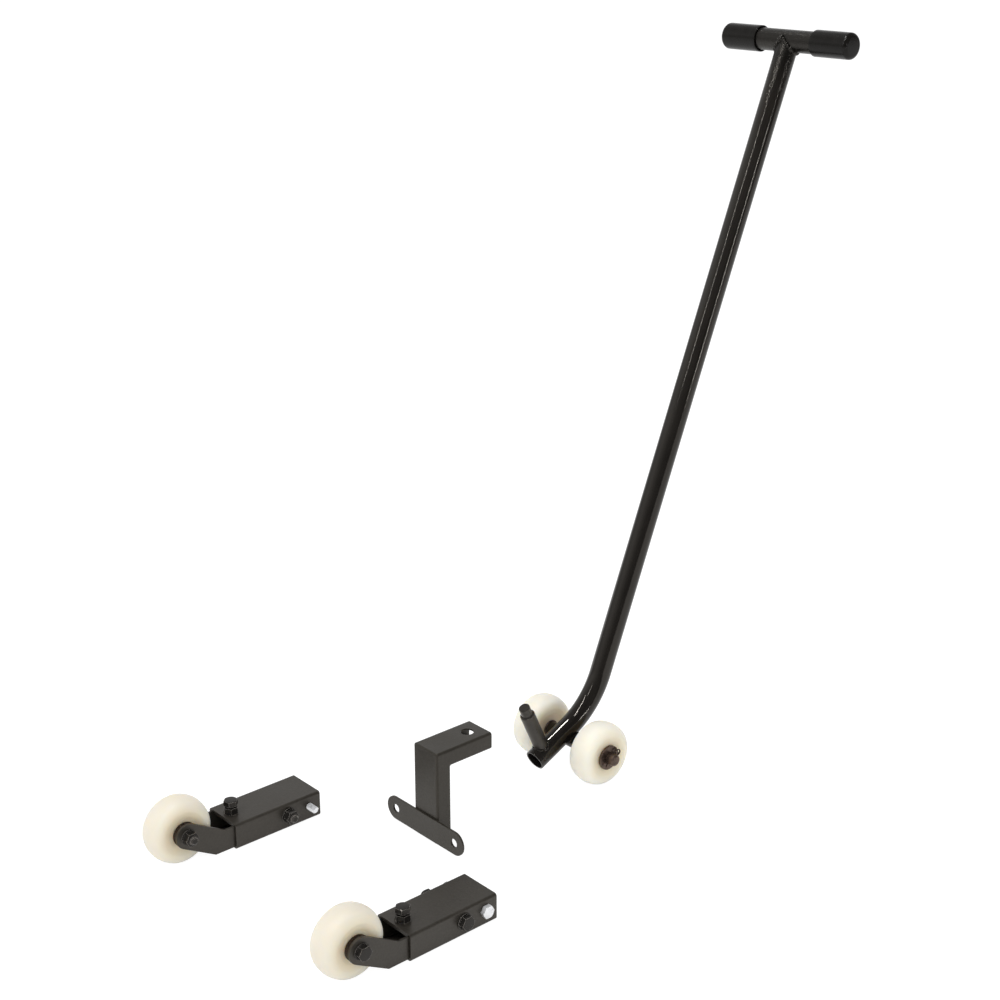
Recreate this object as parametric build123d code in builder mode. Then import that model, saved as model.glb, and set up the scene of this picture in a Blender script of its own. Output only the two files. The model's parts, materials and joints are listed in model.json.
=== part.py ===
from build123d import *
import os
from math import cos, radians, sin, sqrt, tan

os.makedirs("parts", exist_ok=True)

# A tow-bar moving kit for a machine, laid out on the floor as four items:
# two wheel arms, a hitch bracket and a wheeled tow bar.
# Millimetres. +X runs from the wheel arms to the tow handle, +Y is left, +Z is up from the floor.

# Wheels, four alike
wheel_d = 75.0
wheel_w = 33.0
wheel_rim_depth = 12.5
wheel_dish_margin = 3.8
wheel_dish_depth = 1.8
tread_crown_r = 28.4
tread_shoulder_r = 9.0
journal_d = 14.0
running_clearance = 0.05
end_play = 0.3

# Wheel arm tubes
arm_spacing = 288.0
arm_tube_h = 30.0
arm_tube_wall = 2.0
arm_tube_inner_r = 1.0

# Forks that slide in the arm tubes
fork_sheet = 3.0
fork_bend_r = 1.0
fork_side_play = 0.8
fork_floor_play = 0.3
fork_roof_play = 1.0
fork_rise = 30.0
fork_nose_r = 14.2
fork_knee_from_mouth = 10.9
fork_knee_r = 2.0
fork_slot_margin = 3.25
fork_web_setback = 2.0
fork_travel_out = 10.0
fork_travel_in = 5.0
spacer_d = 27.8
spacer_t = 2.6
spacers_each_side = 2
spacer_gap = 0.02

# Black bolts, all of one size: wheel axles, cross bolts and clamp screws
bolt_d = 9.5
bolt_flats = 14.3
bolt_head_h = 6.0
bolt_nut_h = 8.3
bolt_tail = 3.5
bolt_washer_d = 18.0
bolt_washer_t = 1.6
bolt_line_rise = 1.5
cross_bolt_setback = 68.8
clamp_setback = 11.5
clamp_head_gap = 2.0
clamp_tip_gap = 0.3

# Zinc mounting bolts
mount_bolt_d = 8.0
mount_bolt_flats = 13.0
mount_bolt_head_h = 5.3
mount_bolt_tail = 12.5
mount_bolt_fork_gap = 1.0
mount_bolt_end_margin = 14.7

# Fits shared by all fasteners
bolt_hole_clearance = 0.2
slot_clearance = 0.5
thread_relief = 0.45
thread_clearance = 0.075
end_chamfer = 1.0
head_bevel = 30.0

# Hitch bracket
bracket_w = 40.0
bracket_t = 20.0
bracket_wall = 2.0
bracket_inner_r = 1.0
bracket_h = 110.0
hitch_hole_d = 14.5
hitch_hole_setback = 60.2
hitch_hole_margin = 18.7
plate_end_margin = 15.25
plate_h = 28.0
plate_t = 2.5
plate_z = 16.5
plate_hole_d = 10.0
plate_hole_spacing = 99.5

# Tow bar
tow_tube_d = 25.4
tow_tube_wall = 2.0
tow_foot_l = 58.2
tow_foot_rise = 25.0
tow_bend_r = 105.0
tow_bar_lean = 21.9
tow_bar_l = 765.0
tow_axle_setback = 55.4
tow_axle_tail = 11.0
tow_axle_round_r = 3.0
sleeve_d = 19.0
sleeve_l = 62.8
sleeve_notch = 7.3
inner_washer_d = 21.0
inner_washer_t = 2.0
outer_washer_d = 29.5
outer_washer_t = 3.0
pin_d = 3.0
pin_wire_d = 1.6
pin_eye_d = 7.0
pin_l = 23.0
pin_rise = 27.0
peg_setback = 15.9
peg_d = 17.5
peg_shoulder = 63.0
peg_tip = 75.0
peg_tip_clearance = 0.6
weld_gap = 0.05

# Handle
crossbar_l = 178.5
cap_wall = 2.3
cap_l = 52.5
cap_end_t = 3.0
cap_round_r = 5.0
cap_mouth_chamfer = 0.6

# Places along X, from the tow axle, of the items that lie apart on the floor
left_mouth_from_axle = -400.5
right_mouth_from_axle = -390.0
bracket_from_axle = -231.1
tow_bar_y = 13.5

# Tow bar geometry in its upright plane, from the wheel axle
tow_tube_r = tow_tube_d / 2
tow_axle_drop = tow_tube_r + sleeve_d / 2 - sleeve_notch
tow_turn = 90 - tow_bar_lean - tow_foot_rise
foot_dir = Vector(cos(radians(tow_foot_rise)), 0, sin(radians(tow_foot_rise)))
foot_normal = Vector(-foot_dir.Z, 0, foot_dir.X)
bar_dir = Vector(sin(radians(tow_bar_lean)), 0, cos(radians(tow_bar_lean)))
bend_tangent_l = tow_bend_r * tan(radians(tow_turn / 2))
foot_from_axle = foot_normal * tow_axle_drop - foot_dir * tow_axle_setback
bend_from_axle = foot_from_axle + foot_dir * tow_foot_l
bar_from_axle = bend_from_axle + foot_dir * bend_tangent_l + bar_dir * bend_tangent_l
crossbar_from_axle = bar_from_axle + bar_dir * tow_bar_l

# Wheel sizes that follow from its diameter and width
wheel_r = wheel_d / 2
wheel_flank_r = wheel_r - wheel_rim_depth
wheel_dish_r = fork_nose_r + wheel_dish_margin
wheel_hub_l = wheel_w - 2 * wheel_dish_depth

# Fork and arm tube sizes that follow from the wheel between the cheeks and the bolts behind it
fork_gap = wheel_hub_l + 2 * (end_play + spacers_each_side * spacer_t)
fork_w = fork_gap + 2 * fork_sheet
fork_bottom = arm_tube_wall + fork_floor_play
fork_top = arm_tube_h - arm_tube_wall - fork_roof_play
fork_rise_dir = Vector(cos(radians(fork_rise)), sin(radians(fork_rise)))
fork_rise_normal = Vector(-fork_rise_dir.Y, fork_rise_dir.X)
fork_run = fork_rise_dir.X / fork_rise_dir.Y
fork_half_h = fork_nose_r / fork_rise_dir.X
fork_reach = fork_knee_from_mouth + (wheel_r - fork_top + fork_half_h) * fork_run
fork_lower_knee = fork_reach - (wheel_r - fork_bottom - fork_half_h) * fork_run
fork_slot_w = bolt_d + 2 * slot_clearance
fork_insertion = cross_bolt_setback + fork_travel_out + fork_slot_w / 2 + fork_slot_margin
mount_bolt_setback = fork_insertion + fork_travel_in + mount_bolt_d / 2 + mount_bolt_fork_gap
arm_tube_w = fork_w + 2 * fork_side_play + 2 * arm_tube_wall
arm_tube_l = mount_bolt_setback + mount_bolt_end_margin
bolt_line_z = arm_tube_h / 2 + bolt_line_rise

# Hitch bracket sizes that follow from its holes
bracket_reach = hitch_hole_setback + hitch_hole_margin
plate_l = plate_hole_spacing + 2 * plate_end_margin
peg_tip_d = hitch_hole_d - 2 * peg_tip_clearance

# The origin is the middle of the whole kit on the floor
cap_r = tow_tube_r + running_clearance + cap_wall
kit_front = left_mouth_from_axle - fork_reach - wheel_r
kit_back = crossbar_from_axle.X + cap_r
tow_axle_x = -(kit_front + kit_back) / 2
tow_axle_at = Vector(tow_axle_x, tow_bar_y, wheel_r)
bracket_x = tow_axle_x + bracket_from_axle
mouth_x = {"left": tow_axle_x + left_mouth_from_axle, "right": tow_axle_x + right_mouth_from_axle}

# Wheel stations on the tow axle, outwards from the middle
wheel_station = sleeve_l / 2 + inner_washer_t + end_play + wheel_hub_l / 2
outer_washer_seat = wheel_station + wheel_hub_l / 2 + end_play
outer_washer_face = outer_washer_seat + outer_washer_t
tow_axle_l = 2 * (outer_washer_face + tow_axle_tail)
pin_station = outer_washer_face + pin_d
pin_dir = Vector(cos(radians(pin_rise)), 0, sin(radians(pin_rise)))
pin_eye_reach = (journal_d + pin_eye_d + pin_wire_d) / 2


def facing(x, y, z, normal):
    """Plane across a transverse axis at a point, facing +Y or -Y."""
    return Plane(origin=(x, y, z), x_dir=(1, 0, 0), z_dir=(0, normal, 0))


def wheel(x, y, z):
    """Solid nylon wheel about a transverse axis: crowned tread, round shoulders, dished flanks."""
    across = Plane(origin=(x, y, z), x_dir=(0, 1, 0), z_dir=(1, 0, 0))
    half_w = wheel_w / 2
    bore_r = journal_d / 2 + running_clearance
    crown_centre_r = wheel_r - tread_crown_r
    shoulder_x = half_w - tread_shoulder_r
    shoulder_r = crown_centre_r + sqrt((tread_crown_r - tread_shoulder_r) ** 2 - shoulder_x**2)
    lean = tread_crown_r / (tread_crown_r - tread_shoulder_r)
    with BuildPart() as turned:
        with BuildSketch(across):
            with BuildLine():
                Polyline(
                    (0, bore_r),
                    (wheel_hub_l / 2, bore_r),
                    (wheel_hub_l / 2, wheel_dish_r),
                    (half_w, wheel_flank_r),
                    (half_w, shoulder_r),
                )
                shoulder = TangentArc(
                    (half_w, shoulder_r),
                    (shoulder_x * lean, crown_centre_r + (shoulder_r - crown_centre_r) * lean),
                    tangent=(0, 1),
                )
                TangentArc(shoulder @ 1, (0, wheel_r), tangent=shoulder % 1)
                mirror(about=Plane.YZ)
            make_face()
        revolve(axis=Axis((x, y, z), (0, 1, 0)))
    return turned


def hex_bolt(seat, d, flats, head_h, grip, tail):
    """Hexagon-head bolt: head on the seat plane, plain shank in the grip below it, threaded tail."""
    with BuildPart() as bolt:
        with BuildSketch(seat):
            RegularPolygon(flats / 2, 6, major_radius=False)
        extrude(amount=head_h)
        with BuildSketch(seat.offset(head_h)):
            Circle(flats / 2 * cos(radians(head_bevel / 2)))
        extrude(amount=-head_h, taper=head_bevel - 90, mode=Mode.INTERSECT)
        with BuildSketch(seat):
            Circle(d / 2)
        extrude(amount=-grip)
        with BuildSketch(seat.offset(-grip)):
            Circle(d / 2 - thread_relief)
        extrude(amount=-tail)
        chamfer(bolt.faces().sort_by(Axis(seat.origin, seat.z_dir))[0].edges(), end_chamfer)
    return bolt


def hex_nut(seat, d, flats, height):
    """Hexagon nut standing on the seat plane, bevelled on its free face."""
    with BuildPart() as nut:
        with BuildSketch(seat):
            RegularPolygon(flats / 2, 6, major_radius=False)
        extrude(amount=height)
        with BuildSketch(seat.offset(height)):
            Circle(flats / 2 * cos(radians(head_bevel / 2)))
        extrude(amount=-height, taper=head_bevel - 90, mode=Mode.INTERSECT)
        with BuildSketch(seat):
            Circle(d / 2 - thread_relief + thread_clearance)
        extrude(amount=height, mode=Mode.SUBTRACT)
    return nut


# Wheel arms: the left one is the mirror image of the right, with all bolt heads outside
for side, outward in (("left", 1), ("right", -1)):
    mouth = mouth_x[side]
    arm_y = outward * arm_spacing / 2
    axle_x = mouth - fork_reach
    cross_x = mouth + cross_bolt_setback
    mount_x = mouth + mount_bolt_setback
    clamp_x = mouth + clamp_setback
    mouth_plane = Plane(origin=(mouth, arm_y, arm_tube_h / 2), x_dir=(0, 1, 0), z_dir=(1, 0, 0))
    profile_plane = Plane(origin=(mouth, arm_y, 0), x_dir=(-1, 0, 0), z_dir=(0, 1, 0))

    # Arm tube: rectangular tube with a clamp hole in its roof and two bolt holes through its sides
    with BuildPart() as arm_tube:
        with BuildSketch(mouth_plane):
            RectangleRounded(arm_tube_w, arm_tube_h, arm_tube_inner_r + arm_tube_wall)
            offset(amount=-arm_tube_wall, mode=Mode.SUBTRACT)
        extrude(amount=arm_tube_l)
        with BuildSketch(profile_plane):
            with Locations((-cross_bolt_setback, bolt_line_z)):
                Circle(bolt_d / 2 + bolt_hole_clearance)
            with Locations((-mount_bolt_setback, bolt_line_z)):
                Circle(mount_bolt_d / 2 + bolt_hole_clearance)
        extrude(amount=arm_tube_w, both=True, mode=Mode.SUBTRACT)
        with BuildSketch(Plane(origin=(clamp_x, arm_y, arm_tube_h))):
            Circle(bolt_d / 2 + slot_clearance)
        extrude(amount=-2 * arm_tube_wall, mode=Mode.SUBTRACT)
    arm_tube.part.label = f"{side}_arm_tube"
    export_step(arm_tube.part, f"parts/{side}_arm_tube.step")

    # Clamp nut, welded on the roof of the tube
    clamp_nut = hex_nut(Plane(origin=(clamp_x, arm_y, arm_tube_h)), bolt_d, bolt_flats, bolt_nut_h)
    clamp_nut.part.label = f"{side}_clamp_nut"
    export_step(clamp_nut.part, f"parts/{side}_clamp_nut.step")

    # Clamp screw, down through the nut onto the fork's web
    clamp_seat_z = arm_tube_h + bolt_nut_h + clamp_head_gap
    clamp_screw = hex_bolt(
        Plane(origin=(clamp_x, arm_y, clamp_seat_z)),
        bolt_d,
        bolt_flats,
        bolt_head_h,
        clamp_head_gap / 2,
        clamp_seat_z - clamp_head_gap / 2 - fork_top - clamp_tip_gap,
    )
    clamp_screw.part.label = f"{side}_clamp_screw"
    export_step(clamp_screw.part, f"parts/{side}_clamp_screw.step")

    # Fork: folded sheet, a channel inside the tube whose two cheeks rise to the wheel axle
    axle_at = Vector(fork_reach, wheel_r)
    with BuildPart() as wheel_fork:
        for cheek_y in (fork_gap / 2, -fork_gap / 2 - fork_sheet):
            with BuildSketch(profile_plane.offset(cheek_y)) as cheek:
                with BuildLine():
                    lower_edge = Polyline(
                        (-fork_web_setback, fork_top),
                        (-fork_web_setback, fork_bottom),
                        (fork_lower_knee, fork_bottom),
                        axle_at - fork_rise_normal * fork_nose_r,
                    )
                    nose = ThreePointArc(
                        lower_edge @ 1,
                        axle_at + fork_rise_dir * fork_nose_r,
                        axle_at + fork_rise_normal * fork_nose_r,
                    )
                    Polyline(nose @ 1, (fork_knee_from_mouth, fork_top), (-fork_web_setback, fork_top))
                make_face()
                knees = cheek.vertices().sort_by_distance((fork_lower_knee, fork_bottom))[:1]
                knees += cheek.vertices().sort_by_distance((fork_knee_from_mouth, fork_top))[:1]
                fillet(knees, fork_knee_r)
                with Locations((fork_reach, wheel_r)):
                    Circle(bolt_d / 2 + bolt_hole_clearance, mode=Mode.SUBTRACT)
            extrude(amount=fork_sheet)
        channel_plane = Plane(
            origin=(mouth + fork_web_setback, arm_y, fork_bottom), x_dir=(0, 1, 0), z_dir=(1, 0, 0)
        )
        with BuildSketch(channel_plane) as channel:
            Rectangle(fork_w, fork_top - fork_bottom, align=(Align.CENTER, Align.MIN))
            fillet(channel.vertices().group_by(Axis.Y)[-1], fork_bend_r + fork_sheet)
            with BuildSketch(mode=Mode.SUBTRACT) as hollow:
                Rectangle(fork_gap, fork_top - fork_bottom - fork_sheet, align=(Align.CENTER, Align.MIN))
                fillet(hollow.vertices().group_by(Axis.Y)[-1], fork_bend_r)
        extrude(amount=fork_insertion - fork_web_setback)
        with BuildSketch(profile_plane):
            with Locations((-cross_bolt_setback - (fork_travel_out - fork_travel_in) / 2, bolt_line_z)):
                SlotCenterToCenter(fork_travel_out + fork_travel_in, fork_slot_w)
        extrude(amount=fork_w, both=True, mode=Mode.SUBTRACT)
    wheel_fork.part.label = f"{side}_wheel_fork"
    export_step(wheel_fork.part, f"parts/{side}_wheel_fork.step")

    # Wheel
    arm_wheel = wheel(axle_x, arm_y, wheel_r)
    arm_wheel.part.label = f"{side}_wheel"
    export_step(arm_wheel.part, f"parts/{side}_wheel.step")

    # Axle bush, held between the cheeks: the wheel turns on it
    with BuildPart() as axle_bush:
        with BuildSketch(facing(axle_x, arm_y, wheel_r, 1)):
            Circle(journal_d / 2)
            Circle(bolt_d / 2 + bolt_hole_clearance, mode=Mode.SUBTRACT)
        extrude(amount=fork_gap / 2, both=True)
    axle_bush.part.label = f"{side}_axle_bush"
    export_step(axle_bush.part, f"parts/{side}_axle_bush.step")

    # Spacer rings, a stack on each side of the hub
    with BuildPart() as wheel_spacers:
        for normal in (1, -1):
            for ring in range(spacers_each_side):
                ring_y = arm_y + normal * (wheel_hub_l / 2 + end_play + ring * spacer_t)
                with BuildSketch(facing(axle_x, ring_y, wheel_r, normal)):
                    Circle(spacer_d / 2)
                    Circle(journal_d / 2 + running_clearance, mode=Mode.SUBTRACT)
                extrude(amount=spacer_t - spacer_gap)
    wheel_spacers.part.label = f"{side}_wheel_spacers"
    export_step(wheel_spacers.part, f"parts/{side}_wheel_spacers.step")

    # Flat washers on the outsides of the cheeks
    with BuildPart() as axle_washers:
        for normal in (1, -1):
            with BuildSketch(facing(axle_x, arm_y + normal * fork_w / 2, wheel_r, normal)):
                Circle(bolt_washer_d / 2)
                Circle(bolt_d / 2 + bolt_hole_clearance, mode=Mode.SUBTRACT)
            extrude(amount=bolt_washer_t)
    axle_washers.part.label = f"{side}_axle_washers"
    export_step(axle_washers.part, f"parts/{side}_axle_washers.step")

    # Axle bolt with its nut, both on the washers
    axle_seat = outward * (fork_w / 2 + bolt_washer_t)
    axle_bolt = hex_bolt(
        facing(axle_x, arm_y + axle_seat, wheel_r, outward),
        bolt_d,
        bolt_flats,
        bolt_head_h,
        fork_w + 2 * bolt_washer_t,
        bolt_nut_h + bolt_tail,
    )
    axle_bolt.part.label = f"{side}_axle_bolt"
    export_step(axle_bolt.part, f"parts/{side}_axle_bolt.step")
    axle_nut = hex_nut(facing(axle_x, arm_y - axle_seat, wheel_r, -outward), bolt_d, bolt_flats, bolt_nut_h)
    axle_nut.part.label = f"{side}_axle_nut"
    export_step(axle_nut.part, f"parts/{side}_axle_nut.step")

    # Flat washers on the sides of the tube, for the cross bolt
    with BuildPart() as cross_washers:
        for normal in (1, -1):
            with BuildSketch(facing(cross_x, arm_y + normal * arm_tube_w / 2, bolt_line_z, normal)):
                Circle(bolt_washer_d / 2)
                Circle(bolt_d / 2 + bolt_hole_clearance, mode=Mode.SUBTRACT)
            extrude(amount=bolt_washer_t)
    cross_washers.part.label = f"{side}_cross_washers"
    export_step(cross_washers.part, f"parts/{side}_cross_washers.step")

    # Cross bolt with its nut, through the tube and the fork's slots
    cross_seat = outward * (arm_tube_w / 2 + bolt_washer_t)
    cross_bolt = hex_bolt(
        facing(cross_x, arm_y + cross_seat, bolt_line_z, outward),
        bolt_d,
        bolt_flats,
        bolt_head_h,
        arm_tube_w + 2 * bolt_washer_t,
        bolt_nut_h + bolt_tail,
    )
    cross_bolt.part.label = f"{side}_cross_bolt"
    export_step(cross_bolt.part, f"parts/{side}_cross_bolt.step")
    cross_nut = hex_nut(
        facing(cross_x, arm_y - cross_seat, bolt_line_z, -outward), bolt_d, bolt_flats, bolt_nut_h
    )
    cross_nut.part.label = f"{side}_cross_nut"
    export_step(cross_nut.part, f"parts/{side}_cross_nut.step")

    # Mounting bolt, its free end ready for the machine
    mount_bolt = hex_bolt(
        facing(mount_x, arm_y + outward * arm_tube_w / 2, bolt_line_z, outward),
        mount_bolt_d,
        mount_bolt_flats,
        mount_bolt_head_h,
        arm_tube_w,
        mount_bolt_tail,
    )
    mount_bolt.part.label = f"{side}_mount_bolt"
    export_step(mount_bolt.part, f"parts/{side}_mount_bolt.step")

# Hitch bracket: two lengths of flat tube mitred at the top corner, and a slotted-end plate at the foot
mitre = Plane(origin=(bracket_x, 0, bracket_h), x_dir=(0, 1, 0), z_dir=(1, 0, 1))

# Upright leg of the bracket
with BuildPart() as hitch_leg:
    with BuildSketch(Plane(origin=(bracket_x + bracket_t / 2, 0, 0))):
        RectangleRounded(bracket_t, bracket_w, bracket_inner_r + bracket_wall)
        offset(amount=-bracket_wall, mode=Mode.SUBTRACT)
    extrude(amount=bracket_h)
    split(bisect_by=mitre, keep=Keep.BOTTOM)
hitch_leg.part.label = "hitch_leg"
export_step(hitch_leg.part, "parts/hitch_leg.step")

# Level arm of the bracket, with the hole that takes the tow bar's peg
arm_end_plane = Plane(
    origin=(bracket_x, 0, bracket_h - bracket_t / 2), x_dir=(0, 1, 0), z_dir=(1, 0, 0)
)
with BuildPart() as hitch_arm:
    with BuildSketch(arm_end_plane):
        RectangleRounded(bracket_w, bracket_t, bracket_inner_r + bracket_wall)
        offset(amount=-bracket_wall, mode=Mode.SUBTRACT)
    extrude(amount=bracket_reach)
    split(bisect_by=mitre, keep=Keep.TOP)
    with BuildSketch(Plane(origin=(bracket_x + hitch_hole_setback, 0, bracket_h))):
        Circle(hitch_hole_d / 2)
    extrude(amount=-bracket_t, mode=Mode.SUBTRACT)
hitch_arm.part.label = "hitch_arm"
export_step(hitch_arm.part, "parts/hitch_arm.step")

# Foot plate that bolts to the machine
with BuildPart() as hitch_plate:
    with BuildSketch(Plane(origin=(bracket_x, 0, plate_z), x_dir=(0, 1, 0), z_dir=(1, 0, 0))):
        SlotOverall(plate_l, plate_h)
        with GridLocations(plate_hole_spacing, 0, 2, 1):
            Circle(plate_hole_d / 2, mode=Mode.SUBTRACT)
    extrude(amount=-plate_t)
hitch_plate.part.label = "hitch_plate"
export_step(hitch_plate.part, "parts/hitch_plate.step")

# Tow bar, in the upright plane through the middle of its axle
foot_end = tow_axle_at + foot_from_axle
bend_start = tow_axle_at + bend_from_axle
peg_foot = foot_end + foot_dir * peg_setback
crossbar_at = tow_axle_at + crossbar_from_axle
tow_plane = Plane(origin=tow_axle_at, x_dir=(1, 0, 0), z_dir=(0, -1, 0))
foot_plane = Plane(origin=foot_end, x_dir=(0, 1, 0), z_dir=foot_dir)
peg_plane = Plane(origin=peg_foot, x_dir=(0, 1, 0), z_dir=foot_normal)
crossbar_plane = facing(crossbar_at.X, tow_bar_y, crossbar_at.Z, 1)
tow_axle_plane = facing(tow_axle_x, tow_bar_y, wheel_r, 1)

# Tow tube: one bend, coped at the top to the crossbar and notched below for the axle sleeve
with BuildPart() as tow_tube:
    with BuildLine(tow_plane) as tow_path:
        Line(foot_end, bend_start)
        bend_arc = JernArc(bend_start, foot_dir, tow_bend_r, tow_turn)
        Line(bend_arc @ 1, crossbar_at)
    with BuildSketch(foot_plane):
        Circle(tow_tube_r)
        Circle(tow_tube_r - tow_tube_wall, mode=Mode.SUBTRACT)
    sweep(path=tow_path.line)
    with BuildSketch(crossbar_plane):
        Circle(tow_tube_r + weld_gap)
    extrude(amount=crossbar_l / 2, both=True, mode=Mode.SUBTRACT)
    with BuildSketch(tow_axle_plane):
        Circle(sleeve_d / 2 + weld_gap)
    extrude(amount=sleeve_l / 2, both=True, mode=Mode.SUBTRACT)
tow_tube.part.label = "tow_tube"
export_step(tow_tube.part, "parts/tow_tube.step")

# Crossbar of the handle
with BuildPart() as tow_crossbar:
    with BuildSketch(crossbar_plane):
        Circle(tow_tube_r)
        Circle(tow_tube_r - tow_tube_wall, mode=Mode.SUBTRACT)
    extrude(amount=crossbar_l / 2, both=True)
tow_crossbar.part.label = "tow_crossbar"
export_step(tow_crossbar.part, "parts/tow_crossbar.step")

# Grip caps, closed at their outer ends
for side, outward in (("left", 1), ("right", -1)):
    cap_tip_y = tow_bar_y + outward * (crossbar_l / 2 + running_clearance + cap_end_t)
    with BuildPart() as grip_cap:
        with BuildSketch(facing(crossbar_at.X, cap_tip_y, crossbar_at.Z, -outward)):
            Circle(cap_r)
        extrude(amount=cap_l)
        cap_ends = grip_cap.edges().filter_by(GeomType.CIRCLE).sort_by(Axis.Y, reverse=outward > 0)
        fillet(cap_ends[0], cap_round_r)
        chamfer(cap_ends[-1], cap_mouth_chamfer)
        with BuildSketch(crossbar_plane):
            Circle(tow_tube_r + running_clearance)
        extrude(amount=crossbar_l / 2 + running_clearance, both=True, mode=Mode.SUBTRACT)
    grip_cap.part.label = f"{side}_grip_cap"
    export_step(grip_cap.part, f"parts/{side}_grip_cap.step")

# Hitch peg: shouldered, standing square on the foot of the tow tube
with BuildPart() as hitch_peg:
    with BuildSketch(peg_plane):
        Circle(peg_d / 2)
    extrude(amount=peg_shoulder)
    with BuildSketch(peg_plane.offset(peg_shoulder)):
        Circle(peg_tip_d / 2)
    extrude(amount=peg_tip - peg_shoulder)
    chamfer(hitch_peg.faces().sort_by(Axis(peg_foot, foot_normal))[-1].edges(), end_chamfer)
    with BuildSketch(foot_plane):
        Circle(tow_tube_r + weld_gap)
    extrude(amount=tow_foot_l, both=True, mode=Mode.SUBTRACT)
hitch_peg.part.label = "hitch_peg"
export_step(hitch_peg.part, "parts/hitch_peg.step")

# Axle sleeve, set in the notch under the tow tube
with BuildPart() as axle_sleeve:
    with BuildSketch(tow_axle_plane):
        Circle(sleeve_d / 2)
        Circle(journal_d / 2 + running_clearance, mode=Mode.SUBTRACT)
    extrude(amount=sleeve_l / 2, both=True)
axle_sleeve.part.label = "axle_sleeve"
export_step(axle_sleeve.part, "parts/axle_sleeve.step")

# Tow axle with a split-pin hole at each end
with BuildPart() as tow_axle:
    with BuildSketch(tow_axle_plane):
        Circle(journal_d / 2)
    extrude(amount=tow_axle_l / 2, both=True)
    fillet(tow_axle.edges().filter_by(GeomType.CIRCLE), tow_axle_round_r)
    with BuildSketch(Plane(origin=tow_axle_at, x_dir=(0, 1, 0), z_dir=pin_dir)):
        with GridLocations(2 * pin_station, 0, 2, 1):
            Circle(pin_d / 2 + running_clearance)
    extrude(amount=journal_d, both=True, mode=Mode.SUBTRACT)
tow_axle.part.label = "tow_axle"
export_step(tow_axle.part, "parts/tow_axle.step")

# Washers on both sides of each tow wheel, a small one inside and a large one outside
with BuildPart() as tow_washers:
    for seat, washer_d, washer_t in (
        (sleeve_l / 2, inner_washer_d, inner_washer_t),
        (outer_washer_seat, outer_washer_d, outer_washer_t),
    ):
        for normal in (1, -1):
            with BuildSketch(facing(tow_axle_x, tow_bar_y + normal * seat, wheel_r, normal)):
                Circle(washer_d / 2)
                Circle(journal_d / 2 + running_clearance, mode=Mode.SUBTRACT)
            extrude(amount=washer_t)
tow_washers.part.label = "tow_washers"
export_step(tow_washers.part, "parts/tow_washers.step")

# Split pins, eyes towards the handle
with BuildPart() as split_pins:
    for normal in (1, -1):
        eye_at = tow_axle_at + pin_dir * pin_eye_reach + Vector(0, normal * pin_station, 0)
        with BuildSketch(Plane(origin=eye_at, x_dir=(0, 1, 0), z_dir=pin_dir)):
            Circle(pin_d / 2)
        extrude(amount=-pin_l)
        with BuildSketch(facing(eye_at.X, eye_at.Y, eye_at.Z, 1)):
            Circle((pin_eye_d + pin_wire_d) / 2)
        extrude(amount=pin_wire_d / 2, both=True)
        with BuildSketch(facing(eye_at.X, eye_at.Y, eye_at.Z, 1)):
            Circle((pin_eye_d - pin_wire_d) / 2)
        extrude(amount=pin_d, both=True, mode=Mode.SUBTRACT)
split_pins.part.label = "split_pins"
export_step(split_pins.part, "parts/split_pins.step")

# Tow wheels
for side, outward in (("left", 1), ("right", -1)):
    tow_wheel = wheel(tow_axle_x, tow_bar_y + outward * wheel_station, wheel_r)
    tow_wheel.part.label = f"{side}_tow_wheel"
    export_step(tow_wheel.part, f"parts/{side}_tow_wheel.step")
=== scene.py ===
"""Machine moving kit: two wheel arms, a hitch bracket and a wheeled tow bar, built on their CAD frame."""

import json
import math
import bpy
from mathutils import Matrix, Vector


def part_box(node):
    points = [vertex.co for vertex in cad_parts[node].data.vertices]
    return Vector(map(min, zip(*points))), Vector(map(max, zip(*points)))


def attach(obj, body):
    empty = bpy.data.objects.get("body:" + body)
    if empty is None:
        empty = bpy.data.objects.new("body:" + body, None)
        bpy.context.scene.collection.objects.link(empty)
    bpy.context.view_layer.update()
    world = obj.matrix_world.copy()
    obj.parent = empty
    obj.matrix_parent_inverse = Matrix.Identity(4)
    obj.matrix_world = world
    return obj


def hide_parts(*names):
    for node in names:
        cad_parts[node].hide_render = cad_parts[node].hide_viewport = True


bl_info = {
    "name": "Machine Moving Kit",
    "version": (1, 0, 0),
    "blender": (4, 5, 0),
    "location": "View3D > Sidebar > Moving Kit",
    "description": "Builds the visible pieces of a machine moving kit on its CAD frame",
    "category": "Object",
}

import bmesh
import bpy
from bpy.props import FloatProperty, FloatVectorProperty, IntProperty, PointerProperty
from bpy.types import Operator, Panel, PropertyGroup
from mathutils import Matrix, Vector

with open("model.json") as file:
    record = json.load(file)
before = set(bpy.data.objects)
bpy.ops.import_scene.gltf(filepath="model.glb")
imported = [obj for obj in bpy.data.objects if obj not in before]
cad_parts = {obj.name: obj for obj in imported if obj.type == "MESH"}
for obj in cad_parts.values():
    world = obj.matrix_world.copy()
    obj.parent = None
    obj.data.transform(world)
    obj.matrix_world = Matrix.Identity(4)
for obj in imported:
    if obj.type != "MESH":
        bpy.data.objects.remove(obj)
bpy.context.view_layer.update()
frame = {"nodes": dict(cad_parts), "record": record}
BODY_OF = {n: body for body, names in frame["record"]["behaviour"]["bodies"].items() for n in names}
SLOT_OF = {row["node"]: row["material_slot"] for row in frame["record"]["subparts"]}
SIDES = (("left", 1), ("right", -1))
BOTH_WAYS = (1, -1)
UP = Vector((0, 0, 1))
ALONG = Vector((1, 0, 0))
ACROSS = Vector((0, 1, 0))
WHITE = (1.0, 1.0, 1.0, 1.0)
WARM = (1.0, 0.93, 0.84, 1.0)

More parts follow.
